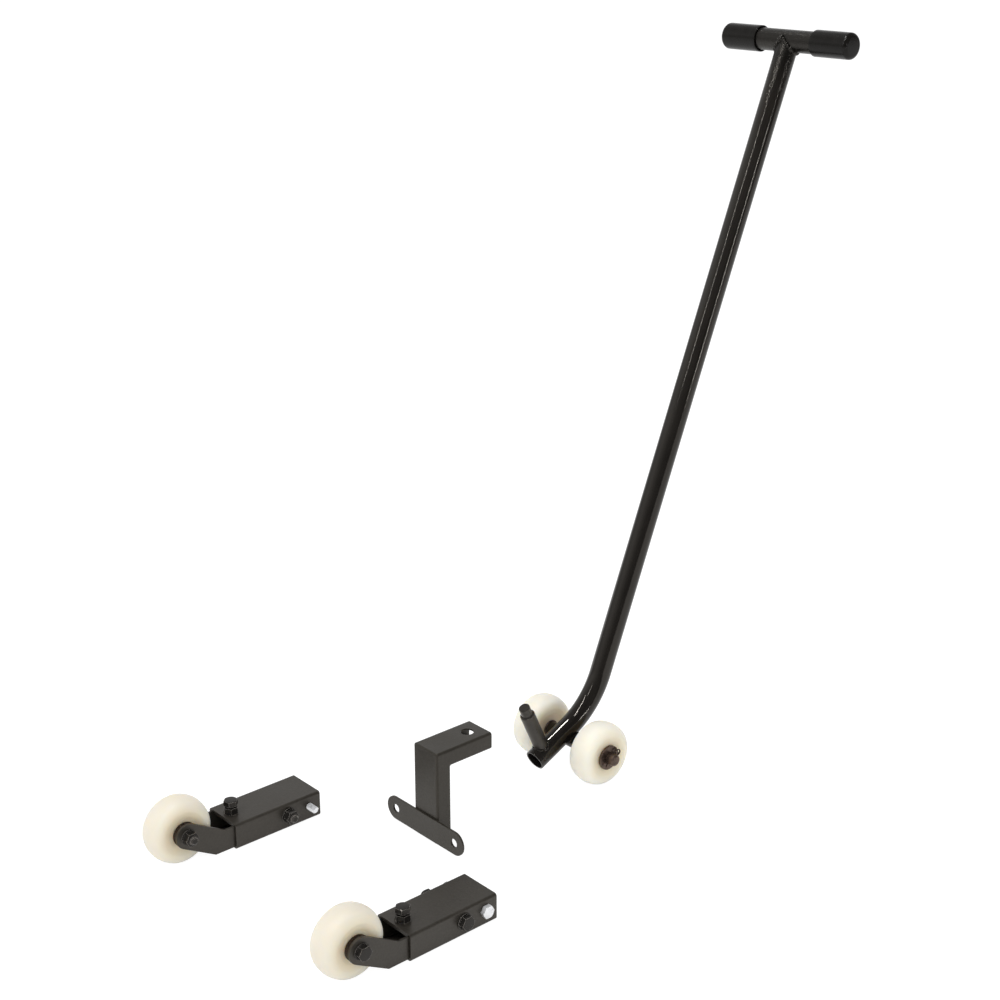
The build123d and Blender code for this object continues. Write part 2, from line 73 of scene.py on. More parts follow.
# Small sizes in metres
PLAY = 0.0002  # between a bolt or the handle and what is pushed over it
HUB_PLAY = 0.0003  # between a wheel's hub and the rings beside it
RING_SLIP = 0.00005  # between a bush and the rings on it
RING_GAP = 0.00004  # between the two rings of a pair
INNER_ELBOW = 0.0001  # rounding inside the bracket's mitre
TACK = 0.0035  # half length of a tack weld at a clamp nut
NECK = 0.0002  # plain shank under a clamp screw's head
MERGE = 2e-6  # points nearer than this become one
TINY = 1e-7  # anything shorter counts as nothing

# Angles in degrees above which an edge stays sharp
PLAIN_SHARP, SHEET_SHARP, HEX_SHARP, TURNED_SHARP, SOFT_SHARP = 38, 34, 24, 50, 60

# Angles in degrees: below the first, faces are joined as flat; above the others, edges are rounded
FLAT, CREASE, CUT_CREASE = 0.6, 40, 50

# Hexagons: the bevel's rim by the flats' radius, blunt corners by sharp ones, softening by the flats' width
HEX_RIM, HEX_CORNER, HEX_SOFT = 0.935, 0.988, 0.012
HEX_SLOPE = math.tan(math.radians(26))

# Threads as shares of the pitch: ridge height, core depth, tip bevel and start above the tip
RIDGE, CORE, TIP_BEVEL, THREAD_START = 0.36, 0.42, 0.6, 0.5

# Points along a straight weld as shares of half its length, from its middle
WELD_SHARES = (-1, -0.5, 0, 0.5, 1)

# A grip cap's open mouth: points along it and out from the bore, then along it and in from the outside
MOUTH_FLARE = ((0.0012, 0.0), (0.0004, 0.0003), (0.0, 0.0009))
MOUTH_EDGE = ((0.0001, 0.0005), (0.0006, 0.0))

# Lamps: name, place, direction of the long side, length and width
LAMPS = (
    ("top", (-0.12, 0.80, 3.43), ALONG, (0.27, 0.27)),
    ("arch", (-1.59, 0.03, 3.07), (1.54, -1.23, 0.93), (2.1, 0.075)),
    ("front", (-2.80, -0.35, 2.20), UP, (0.95, 0.08)),
    ("side", (0.60, -3.46, 0.78), UP, (0.95, 0.10)),
)
LAMP_AIM = Vector((0.1, 0.0, 0.2))  # where the lamps point
VIEW_WAY = (0.665, 0.747, 0.0)  # level direction of the room's far side


def middle(node):
    """Middle of a CAD node's box."""
    low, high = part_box(node)
    return (low + high) / 2


def extent(node):
    """Size of a CAD node's box."""
    low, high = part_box(node)
    return high - low


def underside(node):
    """Middle of the underside of a CAD node's box."""
    at = middle(node)
    at.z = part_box(node)[0].z
    return at


def side_y(node, outward):
    low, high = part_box(node)
    return high.y if outward > 0 else low.y


# Settings


def length(name, description, default):
    """A length property in metres."""
    return FloatProperty(name=name, description=description, default=default, unit="LENGTH", precision=5)


def angle(name, description, degrees):
    """An angle property, given in degrees."""
    return FloatProperty(name=name, description=description, default=math.radians(degrees), subtype="ANGLE")


def amount(name, description, default, unit="NONE"):
    """A plain number, or one with a unit."""
    return FloatProperty(name=name, description=description, default=default, unit=unit)


def portion(name, description, default):
    """A share of a whole."""
    limits = {"min": 0.0, "max": 1.0}
    return FloatProperty(name=name, description=description, default=default, subtype="FACTOR", **limits)


def colour(name, description, default):
    """A colour property, linear red, green and blue."""
    return FloatVectorProperty(name=name, description=description, default=default, subtype="COLOR", size=3)


class WheelSettings(PropertyGroup):
    """Nylon wheels, four alike"""

    crown: length("Tread crown", "Radius of the tread's crown across the wheel", 0.0284)
    shoulder: length("Shoulder", "Radius between the tread and the flank", 0.009)
    rim: length("Rim depth", "Depth of the flat rim from the tread", 0.0125)
    rim_round: length("Rim rounding", "Rounding between the rim and the dish", 0.004)
    dish: length("Dish radius", "Outer radius of the flat hub face", 0.018)
    hub: length("Hub length", "Length of the hub between its faces", 0.0294)
    hub_round: length("Hub rounding", "Rounding between the hub face and the dish", 0.0025)
    bore: length("Bore", "Radius of the bore", 0.00705)
    chamfer: length("Chamfer", "Chamfer at the bore's mouths", 0.0006)
    segments: IntProperty(name="Segments", description="Faces around the wheel", default=128, min=24)
    nylon: colour("Nylon", "Colour of the nylon", (0.70, 0.66, 0.575))
    # Painted shade: a warmer colour near the hub stands in for the shade in the wheel's dish; the scuffs are
    # drawn in it too
    nylon_shade_and_scuff: colour("Nylon by the hub", "Warmer colour near the hub", (0.755, 0.67, 0.48))
    # Painted light: the tow wheels are painted paler to make up for the weaker light they get; all four
    # wheels are the same nylon
    nylon_tow_painted_light: colour("Paler nylon", "Colour of the nylon of the tow wheels", (0.797, 0.768, 0.685))


class ArmSettings(PropertyGroup):
    """Wheel arms: tubes and forks"""

    rim: length("Rim rounding", "Rounding of the cut tube ends", 0.0004)
    sheet_edge: length("Sheet rounding", "Rounding of the fork's cut edges", 0.0004)
    ring_edge: length("Ring rounding", "Rounding of the bushes and the spacer rings", 0.0005)
    outer_ring: portion("Outer ring", "Radius of the outer rings as a share of the inner ones'", 0.965)
    paint: colour("Arm paint", "Satin black paint of the arms", (0.0255, 0.0225, 0.0185))


class BoltSettings(PropertyGroup):
    """Black hexagon bolts and nuts"""

    size: length("Size", "Nominal diameter of the black bolts", 0.0095)
    head: length("Head", "Height of the black bolts' heads", 0.006)
    pitch: length("Pitch", "Thread pitch of the black bolts", 0.0015)
    bore: length("Nut bore", "Radius of the nuts' bores", 0.004375)
    washer: length("Washer", "Thickness of the flat washers", 0.0016)
    washer_edge: length("Washer rounding", "Rounding of the flat washers", 0.0003)
    screw_turn: angle("Screw turn", "Turn of the clamp screws' heads from their nuts", -17)
    black: colour("Black oxide", "Colour of the blackened bolts", (0.013, 0.012, 0.011))


class MountBoltSettings(PropertyGroup):
    """Zinc mounting bolts"""

    size: length("Size", "Nominal diameter of the mounting bolts", 0.008)
    head: length("Head", "Height of the mounting bolts' heads", 0.0053)
    pitch: length("Pitch", "Thread pitch of the mounting bolts", 0.00125)
    zinc: colour("Zinc", "Colour of the bright zinc plating", (0.74, 0.75, 0.77))


class BracketSettings(PropertyGroup):
    """Hitch bracket"""

    wall: length("Wall", "Wall of the flat tube", 0.002)
    corner: length("Corner", "Outer corner radius of the flat tube", 0.003)
    elbow: length("Elbow", "Rounding of the ground mitre corner", 0.0022)
    hole: length("Hitch hole", "Radius of the hole for the peg", 0.00725)
    hole_setback: length("Hole setback", "Hole middle from the leg's front face", 0.0602)
    edge: length("Edge rounding", "Rounding of cut edges", 0.0004)
    paint: colour("Bracket paint", "Satin black paint of the bracket", (0.024, 0.0212, 0.017))


class TowBarSettings(PropertyGroup):
    """Tow bar, handle, peg and axle"""

    radius: length("Tube radius", "Radius of the tow tube and the handle", 0.0127)
    wall: length("Wall", "Wall of the tow tube", 0.002)
    lip: length("Lip", "Rounding of the tubes' cut ends", 0.0005)
    foot: length("Foot length", "Straight length of the tube's foot", 0.0582)
    foot_rise: angle("Foot rise", "Slope of the foot", 25)
    lean: angle("Lean", "Lean of the bar from upright", 21.9)
    bend: length("Bend radius", "Radius of the bend at the tube's middle", 0.105)
    axle_setback: length("Axle setback", "Axle from the foot's end, along the foot", 0.0554)
    axle_drop: length("Axle drop", "Axle below the foot's middle line", 0.0149)
    axle_bore: length("Axle bore", "Radius of the bores round the axle", 0.00705)
    axle_round: length("Axle rounding", "Rounding of the axle's ends", 0.003)
    peg_setback: length("Peg setback", "Peg from the foot's end", 0.0159)
    peg_shoulder: length("Peg shoulder", "Height of the peg's shoulder", 0.063)
    peg_tip: length("Peg tip", "Height of the peg's tip", 0.075)
    peg_radius: length("Peg radius", "Radius of the peg below its shoulder", 0.00875)
    peg_tip_radius: length("Peg tip radius", "Radius of the peg's tip", 0.00665)
    cap: length("Cap length", "Length of each grip cap", 0.0525)
    cap_end: length("Cap end", "Thickness of the closed cap ends", 0.0032)
    cap_round: length("Cap rounding", "Rounding of the closed cap ends", 0.005)
    inner_washer: length("Inner washer", "Radius of the washers inside the tow wheels", 0.0105)
    inner_washer_t: length("Inner washer thickness", "Thickness of the inner washers", 0.002)
    outer_washer_t: length("Outer washer thickness", "Thickness of the outer washers", 0.003)
    ring_edge: length("Ring rounding", "Rounding of the sleeve and the washers", 0.0006)
    pin_rise: angle("Pin rise", "Slope of the split pins", 27)
    pin_eye: length("Pin eye", "Middle of a pin's eye from the axle's middle", 0.0113)
    pin_loop: length("Pin loop", "Radius of a pin's eye", 0.0035)
    pin_wire: length("Pin wire", "Half thickness of a pin's wire", 0.00074)
    pin: length("Pin length", "Length of a split pin below the middle of its eye", 0.023)
    segments: IntProperty(name="Segments", description="Faces around the tubes", default=72, min=24)
    gloss_paint: colour("Bar paint", "Gloss black paint of the tow bar", (0.0091, 0.0080, 0.0070))
    rubber: colour("Grip rubber", "Satin black rubber of the caps", (0.0065, 0.0058, 0.005))
    peg: colour("Peg", "Dark steel of the peg", (0.037, 0.034, 0.030))
    axle: colour("Axle", "Dark oiled steel of the axle, washers and rings", (0.074, 0.050, 0.039))


class WeldSettings(PropertyGroup):
    """Weld beads"""

    width: length("Bead", "Half width of a bead", 0.0024)
    ripple: length("Ripple", "Spacing of the ripples along a bead", 0.0013)


class StageSettings(PropertyGroup):
    """Camera, floor and studio light"""

    camera: FloatVectorProperty(
        name="Camera",
        description="Place of the camera from the middle of the tow axle",
        default=(-1.287598, -1.3230, 0.9655),
        subtype="TRANSLATION",
    )
    camera_turn: FloatVectorProperty(
        name="Camera turn",
        description="Turn of the camera",
        default=(math.radians(70.134), 0.0, math.radians(-41.662)),
        subtype="EULER",
    )
    lens: amount("Lens", "Focal length on a 36 mm sensor", 62.784, "CAMERA")
    top: amount("Top", "Power of the lamp overhead", 28.0, "POWER")
    arch: amount("Arch", "Power of the long lamp high on the left", 36.0, "POWER")
    front: amount("Front", "Power of the narrow lamp on the left", 6.0, "POWER")
    side: amount("Side", "Power of the narrow lamp low on the right", 8.5, "POWER")
    room: amount("Room", "Strength of the light from all round, near the floor", 0.74)
    ceiling: amount("Ceiling", "Strength of the light from straight above", 0.33)
    floor_radius: length("Floor radius", "Radius of the floor", 14.0)
    floor_drop: length("Floor drop", "Floor below the wheels", 0.0003)
    floor_paint: colour("Floor", "Colour of the floor", (0.92, 0.92, 0.92))
    floor_white: amount("Floor white", "Strength of the white that the floor shows", 1.28)
    floor_seen: portion("Floor seen", "Share of that white where the floor is seen", 0.72)
    floor_gloss: portion("Floor in gloss", "Share of the seen white that gloss shows", 0.55)


class KitSettings(PropertyGroup):
    """All settings of the moving kit"""

    wheels: PointerProperty(type=WheelSettings)
    arms: PointerProperty(type=ArmSettings)
    bolts: PointerProperty(type=BoltSettings)
    mount_bolts: PointerProperty(type=MountBoltSettings)
    bracket: PointerProperty(type=BracketSettings)
    tow_bar: PointerProperty(type=TowBarSettings)
    welds: PointerProperty(type=WeldSettings)
    stage: PointerProperty(type=StageSettings)


# Node trees and finishes


class Nodes:
    """Short calls that add nodes to one tree."""

    def __init__(self, tree):
        self.tree = tree

    def feed(self, socket, value):
        """Link an output to a socket, or set the socket's own value."""
        if isinstance(value, bpy.types.NodeSocket):
            self.tree.links.new(value, socket)
        else:
            socket.default_value = value

    def add(self, kind, inputs=None, **settings):
        """Add a node with its settings and inputs, and give its outputs."""
        made = self.tree.nodes.new(kind)
        for name, value in settings.items():
            setattr(made, name, value)
        for name, value in (inputs or {}).items():
            self.feed(made.inputs[name], value)
        return made.outputs

    def maths(self, operation, a, b):
        """One arithmetic step."""
        return self.add("ShaderNodeMath", {0: a, 1: b}, operation=operation)["Value"]

    def times(self, a, b):
        """Two values multiplied."""
        return self.maths("MULTIPLY", a, b)

    def plus(self, a, b):
        """Two values added."""
        return self.maths("ADD", a, b)

    def dot(self, a, b):
        """The dot product of two vectors."""
        return self.add("ShaderNodeVectorMath", {0: a, 1: b}, operation="DOT_PRODUCT")["Value"]

    def fit(self, value, low=0.3, high=0.7, to_low=0.0, to_high=1.0):
        """Map a value from one range to another, clamped; the first range suits the middle of a noise."""
        ends = {"From Min": low, "From Max": high, "To Min": to_low, "To Max": to_high}
        return self.add("ShaderNodeMapRange", {"Value": value, **ends})["Result"]


class Finish(Nodes):
    """A material being mixed: noises, layers of tone over a first shade of its tint, bumps and gloss."""

    def __init__(self, name, tint, first):
        self.material = bpy.data.materials.new(name)
        self.material.use_nodes = True
        super().__init__(self.material.node_tree)
        self.where = self.add("ShaderNodeTexCoord")["Object"]
        self.tint = tint
        self.tone = shade(tint, first)
        self.normal = None

    def noise(self, scale, detail=4.0, rough=0.55, stretch=(1, 1, 1)):
        """Noise at a scale per metre, drawn out along the axes by stretch."""
        where = self.add("ShaderNodeMapping", {"Vector": self.where, "Scale": stretch})["Vector"]
        inputs = {"Vector": where, "Scale": scale, "Detail": detail, "Roughness": rough}
        return self.add("ShaderNodeTexNoise", inputs)["Fac"]

    def carried(self, name):
        """A value that the mesh carries."""
        return self.add("ShaderNodeAttribute", attribute_name=name)["Fac"]

    def turning(self, scale):
        """Fine rings along the outline of a turned piece."""
        inputs = {"W": self.carried("ring"), "Scale": scale, "Detail": 3.0}
        return self.add("ShaderNodeTexNoise", inputs, noise_dimensions="1D")["Fac"]

    def axis(self, name):
        """One of the Object coordinates."""
        return self.add("ShaderNodeSeparateXYZ", {"Vector": self.where})[name]

    def edges(self, reach):
        """1 near sharp edges and 0 on the flats."""
        soft = self.add("ShaderNodeBevel", {"Radius": reach}, samples=4)["Normal"]
        return self.fit(self.dot(soft, self.add("ShaderNodeNewGeometry")["Normal"]), 0.995, 0.85)

    def layer(self, mask, factor, tint=None):
        """Lay a lighter or darker shade of a tint over the tone so far."""
        over = shade(self.tint if tint is None else tint, factor)
        self.tone = self.add("ShaderNodeMix", {"Factor": mask, 6: self.tone, 7: over}, data_type="RGBA")[2]

    def bump(self, height, depth, strength):
        """Lay a bump over the bumps so far."""
        under = {} if self.normal is None else {"Normal": self.normal}
        inputs = {"Height": height, "Distance": depth, "Strength": strength, **under}
        self.normal = self.add("ShaderNodeBump", inputs)["Normal"]

    def done(self, gloss, plain):
        """Feed the shader its tone, gloss, bumps and plain values, and give the material."""
        shader = self.tree.nodes["Principled BSDF"]
        inputs = {"Base Color": self.tone, "Roughness": gloss, "Normal": self.normal, **plain}
        for name, value in inputs.items():
            self.feed(shader.inputs[name], value)
        return self.material


def shade(tint, factor):
    """A colour made lighter or darker."""
    return (*(min(1.0, c * factor) for c in tint), 1.0)


def satin_paint(name, tint, specular):
    """Satin black paint: cloudy tone, fine grain, dust in the gloss and lighter edges, partly rubbed paint
    and partly a painted highlight.
    """
    mix = Finish(name, tint, 0.86)
    cloud = mix.noise(28.0, 5.0)
    grain = mix.noise(1400.0, 3.0, 0.7)
    peel = mix.noise(420.0, 2.0)
    scuff = mix.fit(mix.noise(90.0, 7.0, 0.72), 0.60, 0.74)
    wear_and_highlight = mix.fit(mix.noise(260.0), 0.35, 0.6, 0.1, 0.7)
    mix.layer(mix.fit(cloud), 1.14)
    mix.layer(mix.fit(grain, to_high=0.35), 0.62)
    mix.layer(mix.fit(peel, 0.4, 0.65, 0.0, 0.4), 1.4)
    mix.layer(mix.times(scuff, 0.28), 1.9)
    # Lighter edges: partly rubbed paint, partly a painted highlight along the rounded edges
    mix.layer(mix.times(mix.edges(0.0009), wear_and_highlight), 2.4)
    mix.bump(peel, 0.0002, 0.6)
    mix.bump(grain, 0.00005, 0.6)
    gloss = mix.plus(mix.fit(cloud, to_low=0.36, to_high=0.46), mix.times(scuff, 0.08))
    return mix.done(gloss, {"Specular IOR Level": specular, "Specular Tint": WARM})


def gloss_paint(name, tint):
    """Gloss black paint: waves that break up the highlights, peel, dust, chips and a duller handle with a
    darker painted shade.
    """
    mix = Finish(name, tint, 0.8)
    height = mix.axis("Z")
    cloud = mix.noise(22.0)
    dust = mix.noise(1900.0, 3.0, 0.7)
    chips = mix.fit(mix.noise(210.0, 6.0, 0.7), 0.70, 0.74)
    mix.layer(mix.fit(cloud), 1.25)
    mix.layer(mix.fit(dust, 0.62, 0.8, 0.0, 0.5), 3.5)
    mix.layer(mix.times(chips, 0.5), 5.0)
    # Painted shade: the handle, above 0.77 m, is painted darker
    mix.layer(mix.fit(height, 0.77, 0.80, 0.0, 0.9), 0.1)
    wave = mix.noise(75.0, 2.0, 0.5, (1.0, 1.0, 0.35))
    lumps = mix.noise(330.0, 3.0, 0.6)
    mix.bump(wave, 0.0012, mix.fit(height, 0.12, 0.26, 0.25, 0.04))
    mix.bump(lumps, 0.0012, mix.fit(height, 0.745, 0.775, 0.0, 0.45))
    mix.bump(mix.noise(520.0, 2.0), 0.00006, 0.5)
    duller = mix.fit(height, 0.77, 0.81, 0.0, 0.25)
    gloss = mix.plus(mix.fit(cloud, to_low=0.05, to_high=0.09), duller)
    gloss = mix.plus(gloss, mix.times(chips, 0.2))
    return mix.done(gloss, {"Specular IOR Level": 0.42, "Specular Tint": WARM})


def turned_nylon(name, tint, shade_and_scuff, pale):
    """Cream nylon with turning rings, clouds and scuffs; painted paler on the tow wheels to make up for
    their weaker light, and a warmer painted shade by the hub.
    """
    mix = Finish(name, tint, 1.0)
    cloud = mix.noise(45.0)
    scuff = mix.fit(mix.noise(150.0, 6.0, 0.7), 0.62, 0.78)
    # Painted light: paler nylon on the tow wheels, beyond x = 0, to make up for their weaker light
    mix.layer(mix.fit(mix.axis("X"), -0.1, 0.0), 1.0, pale)
    # Painted shade: warmer towards the hub, where the dish lies in shade
    mix.layer(mix.fit(mix.carried("share"), 0.92, 0.42), 1.0, shade_and_scuff)
    mix.layer(mix.fit(cloud, 0.35, 0.7, 0.0, 0.2), 0.95)
    # Scuffs, in a darkened shade of the hub colour
    mix.layer(mix.times(scuff, 0.16), 0.72, shade_and_scuff)
    mix.bump(mix.turning(1500.0), 0.00004, 0.5)
    mix.bump(cloud, 0.0003, 0.3)
    plain = {
        "Specular IOR Level": 0.4,
        "Subsurface Weight": 0.85,
        "Subsurface Radius": (0.028, 0.0235, 0.0165),
        "Subsurface Scale": 1.0,
    }
    return mix.done(mix.fit(cloud, to_low=0.36, to_high=0.48), plain)


def steel(name, tint, metallic, rough, grit, spread=1.2, edge_wear_and_highlight=1.8, polish=0.0, on_arms=1.0, specular=0.5):
    """Plain steel: turning rings where the piece was turned, stains in the tone, lighter edges that are
    partly rubbed bare and partly a painted highlight, and an uneven gloss.
    """
    mix = Finish(name, tint, 1 / spread)
    stain = mix.noise(130.0, 5.0, 0.65)
    mix.layer(mix.fit(stain), spread)
    if on_arms < 1.0:
        mix.layer(mix.fit(mix.axis("X"), -0.1, 0.0, 0.85, 0.0), on_arms)
    # Lighter edges: partly rubbed bare steel, partly a painted highlight
    mix.layer(mix.times(mix.edges(0.0005), 0.8), edge_wear_and_highlight)
    mix.bump(mix.turning(2600.0), grit, 0.5)
    mix.bump(mix.noise(1700.0, 3.0, 0.7), grit, 0.5)
    polished = mix.fit(mix.carried("share"), 0.98, 0.94, 0.0, polish)
    gloss = mix.fit(stain, to_low=rough - 0.06, to_high=rough + 0.08)
    gloss = mix.maths("SUBTRACT", gloss, polished)
    return mix.done(gloss, {"Metallic": metallic, "Specular IOR Level": specular, "Specular Tint": WARM})


def grip_rubber(name, tint):
    """Moulded rubber: pebbled skin, pale dust, a soft sheen and glossier ends."""
    mix = Finish(name, tint, 0.85)
    cloud = mix.noise(60.0)
    dust = mix.noise(240.0, 7.0, 0.75)
    mix.layer(mix.fit(cloud), 1.2)
    mix.layer(mix.fit(dust, 0.58, 0.78, 0.0, 0.35), 2.2)
    mix.bump(mix.noise(900.0, 2.0), 0.0001, 0.5)
    ends = mix.fit(mix.carried("share"), 0.995, 0.95, 0.0, 0.14)
    gloss = mix.maths("SUBTRACT", mix.fit(cloud, to_low=0.22, to_high=0.30), ends)
    return mix.done(gloss, {"Specular IOR Level": 0.19})


def finish_for(slot):
    """The material of one of the record's slots, made when it is first asked for."""
    name = "kit_" + slot
    made = bpy.data.materials.get(name)
    if made:
        return made
    kit = bpy.context.scene.moving_kit
    wheels, bar = kit.wheels, kit.tow_bar
    recipes = {
        "cream_nylon": (turned_nylon, wheels.nylon, dict(shade_and_scuff=wheels.nylon_shade_and_scuff, pale=wheels.nylon_tow_painted_light)),
        "arm_paint": (satin_paint, kit.arms.paint, dict(specular=0.45)),
        "bracket_paint": (satin_paint, kit.bracket.paint, dict(specular=0.37)),
        "bar_paint": (gloss_paint, bar.gloss_paint, {}),
        "grip_rubber": (grip_rubber, bar.rubber, {}),
        "peg_steel": (steel, bar.peg, dict(metallic=0.4, rough=0.33, grit=0.00001, edge_wear_and_highlight=4.5, polish=0.2)),
        "axle_steel": (
            steel,
            bar.axle,
            dict(metallic=0.6, rough=0.28, grit=0.00003, spread=1.55, edge_wear_and_highlight=4.0, on_arms=0.2),
        ),
        # The black bolts' very light edges are partly rubbed oxide and partly a painted highlight
        "black_bolts": (
            steel,
            kit.bolts.black,
            dict(metallic=0.0, rough=0.18, grit=0.00001, spread=1.3, edge_wear_and_highlight=34.0, specular=0.24),
        ),
        "zinc_bolts": (
            steel,
            kit.mount_bolts.zinc,
            dict(metallic=0.55, rough=0.30, grit=0.00004, spread=1.25),
        ),
    }
    make, tint, values = recipes[slot]
    return make(name, tint, **values)


# Mesh making


def frame_at(origin, axis, across):
    """Matrix at origin whose Z runs along axis and whose X lies nearest to across."""
    z = Vector(axis).normalized()
    x = Vector(across)
    x = (x - z * x.dot(z)).normalized()
    made = Matrix((x, z.cross(x), z)).transposed().to_4x4()
    made.translation = Vector(origin)
    return made


def crosswise(origin, facing=1):
    return frame_at(origin, ACROSS * facing, ALONG)


def directions(count):
    """Cosines and sines of evenly spaced directions, once round."""
    return [(math.cos(math.tau * k / count), math.sin(math.tau * k / count)) for k in range(count)]


def arc(x, r, radius, start, end, steps):
    """Points on an arc about (x, r) after its first one, with angles from the radius towards x."""
    turns = [start + (end - start) * k / steps for k in range(1, steps + 1)]
    return [(x + radius * math.sin(a), r + radius * math.cos(a)) for a in turns]


def rounded(points, radius, steps, closed=False):
    """A flat outline with its corners rounded by one radius, or by one for each point."""
    count = len(points)
    radii = radius if hasattr(radius, "__len__") else [radius] * count
    made = []
    for i, point in enumerate(points):
        corner = Vector(point)
        if radii[i] <= 0 or (not closed and i in (0, count - 1)):
            made.append(corner)
            continue
        back = Vector(points[i - 1]) - corner
        ahead = Vector(points[(i + 1) % count]) - corner
        half = back.angle(ahead) / 2
        most = 0.49 * min(back.length, ahead.length)
        cut = min(radii[i] / math.tan(half), most)
        back.normalize()
        ahead.normalize()
        centre = corner + (back + ahead).normalized() * (cut / math.cos(half))
        start = corner + back * cut - centre
        end = corner + ahead * cut - centre
        turn = math.atan2(start.x * end.y - start.y * end.x, start.dot(end))
        for step in range(steps + 1):
            made.append(centre + Matrix.Rotation(turn * step / steps, 2) @ start)
    return made


def skin(bm, rows, bored=False):
    """Faces between neighbouring rings of vertices, and from the last to the first on a bored piece."""
    count = max(len(row) for row in rows)
    for low, high in zip(rows, rows[1:] + rows[:1] if bored else rows[1:]):
        for k in range(count):
            n = (k + 1) % count
            corners = (low[k % len(low)], low[n % len(low)], high[n % len(high)], high[k % len(high)])
            corners = list(dict.fromkeys(corners))
            if len(corners) > 2:
                bm.faces.new(corners)


def turned(bm, profile, place, segments=64):
    """Revolve (along, radius) pairs about the Z axis of place; a profile clear of the axis is bored."""
    layers = bm.verts.layers.float
    ring = layers.get("ring") or layers.new("ring")
    share = layers.get("share") or layers.new("share")
    reach = max(radius for _, radius in profile)
    run = 0.0
    before = profile[0]
    rows = []
    for point in profile:
        along, radius = point
        run += math.dist(before, point)
        before = point
        row = []
        for c, s in directions(segments) if radius > TINY else [(0.0, 0.0)]:
            vert = bm.verts.new(place @ Vector((radius * c, radius * s, along)))
            vert[ring] = run
            vert[share] = radius / reach
            row.append(vert)
        rows.append(row)
    skin(bm, rows, bored=profile[0][1] > TINY and profile[-1][1] > TINY)


def tube_row(bm, point, heading, radius, count, wide=1.0):
    side = ACROSS.cross(heading)
    return [bm.verts.new(point + (side * c + ACROSS * s * wide) * radius) for c, s in directions(count)]


def hexagon(bm, place, flats, height, bore=0.0):
    """A hexagon head, or a nut where there is a bore, standing on place, with bevels and soft corners."""
    flat_r = flats / 2
    rim = flat_r * HEX_RIM
    blunt = flat_r / math.cos(math.pi / 6) * HEX_CORNER
    soft = flats * HEX_SOFT
    mouth = bore + soft * 2

    def outline(r):
        """Radius and height up the hexagon in a direction where its side lies at r."""
        top = [
            (r, height - (r - rim) * HEX_SLOPE - soft),
            (r - soft, height - (r - soft - rim) * HEX_SLOPE),
            (rim + soft, height - soft * HEX_SLOPE * 1.5),
            (rim - soft, height),
        ]
        if not bore:
            return [(r - soft, 0.0), (r, soft)] + top
        foot = [(bore, soft * 2), (mouth, 0.0), (rim, 0.0), (r, (r - rim) * HEX_SLOPE + soft)]
        return foot + top + [(mouth, height), (bore, height - soft * 2)]

    steps = 16
    columns = []
    for k, (c, s) in enumerate(directions(6 * steps)):
        reach = min(flat_r / math.cos(math.radians((k % steps) * 60 / steps - 30)), blunt)
        columns.append([place @ Vector((radius * c, radius * s, z)) for radius, z in outline(reach)])
    rows = [[bm.verts.new(point) for point in row] for row in zip(*columns)]
    if not bore:
        foot, top = ([bm.verts.new(place @ Vector((0, 0, z)))] for z in (0.0, height))
        rows = [foot] + rows + [top]
    skin(bm, rows, bored=bool(bore))


def soften(bm, edge, least, slide):
    """Round the edges that turn by more than an angle in degrees."""
    sharp = [e for e in bm.edges if len(e.link_faces) == 2 and e.calc_face_angle(0.0) > math.radians(least)]
    bmesh.ops.bevel(
        bm,
        geom=sharp,
        offset=edge,
        segments=3,
        profile=0.5,
        affect="EDGES",
        clamp_overlap=True,
        loop_slide=slide,
    )


def finished_mesh(name, bm, sharp):
    """A plain mesh with outward normals, smooth but for its sharp edges."""
    bmesh.ops.remove_doubles(bm, verts=bm.verts, dist=TINY)
    bmesh.ops.recalc_face_normals(bm, faces=bm.faces)
    mesh = bpy.data.meshes.new(name)
    bm.to_mesh(mesh)
    bm.free()
    mesh.shade_smooth()
    mesh.set_sharp_from_angle(angle=math.radians(sharp))
    return mesh


def plain_mesh(piece):
    """The evaluated mesh of an object, its modifiers removed."""
    graph = bpy.context.evaluated_depsgraph_get()
    shown = piece.evaluated_get(graph)
    mesh = bpy.data.meshes.new_from_object(shown, preserve_all_data_layers=True, depsgraph=graph)
    piece.modifiers.clear()
    return mesh


def link(name, data):
    """A new object at the origin."""
    piece = bpy.data.objects.new(name, data)
    bpy.context.scene.collection.objects.link(piece)
    return piece


def place_piece(name, bm, nodes, sharp=PLAIN_SHARP):
    """Finish a piece that stands for CAD nodes: weighted normals, its slot's finish and its body."""
    piece = link(name, finished_mesh(name, bm, sharp))
    weigh = piece.modifiers.new("Weighted normals", "WEIGHTED_NORMAL")
    weigh.keep_sharp = True
    weigh.weight = 80
    rough = piece.data
    piece.data = plain_mesh(piece)
    bpy.data.meshes.remove(rough)
    piece.data.name = name
    slot = SLOT_OF[nodes[0]]
    piece.data.materials.clear()
    piece.data.materials.append(finish_for(slot))
    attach(piece, BODY_OF[nodes[0]])
    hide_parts(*nodes)


def copied_piece(name, node, edge):
    """A piece with a CAD node's own shape, its sharp edges rounded."""
    bm = bmesh.new()
    bm.from_mesh(frame["nodes"][node].data)
    bmesh.ops.remove_doubles(bm, verts=bm.verts, dist=MERGE)
    bmesh.ops.dissolve_limit(bm, angle_limit=math.radians(FLAT), verts=bm.verts, edges=bm.edges)
    soften(bm, edge, CREASE, slide=True)
    place_piece(name, bm, [node], SHEET_SHARP)


def turned_piece(name, node, profile, place, segments=64, sharp=TURNED_SHARP):
    """A piece turned from one profile."""
    bm = bmesh.new()
    turned(bm, profile, place, segments)
    place_piece(name, bm, [node], sharp)


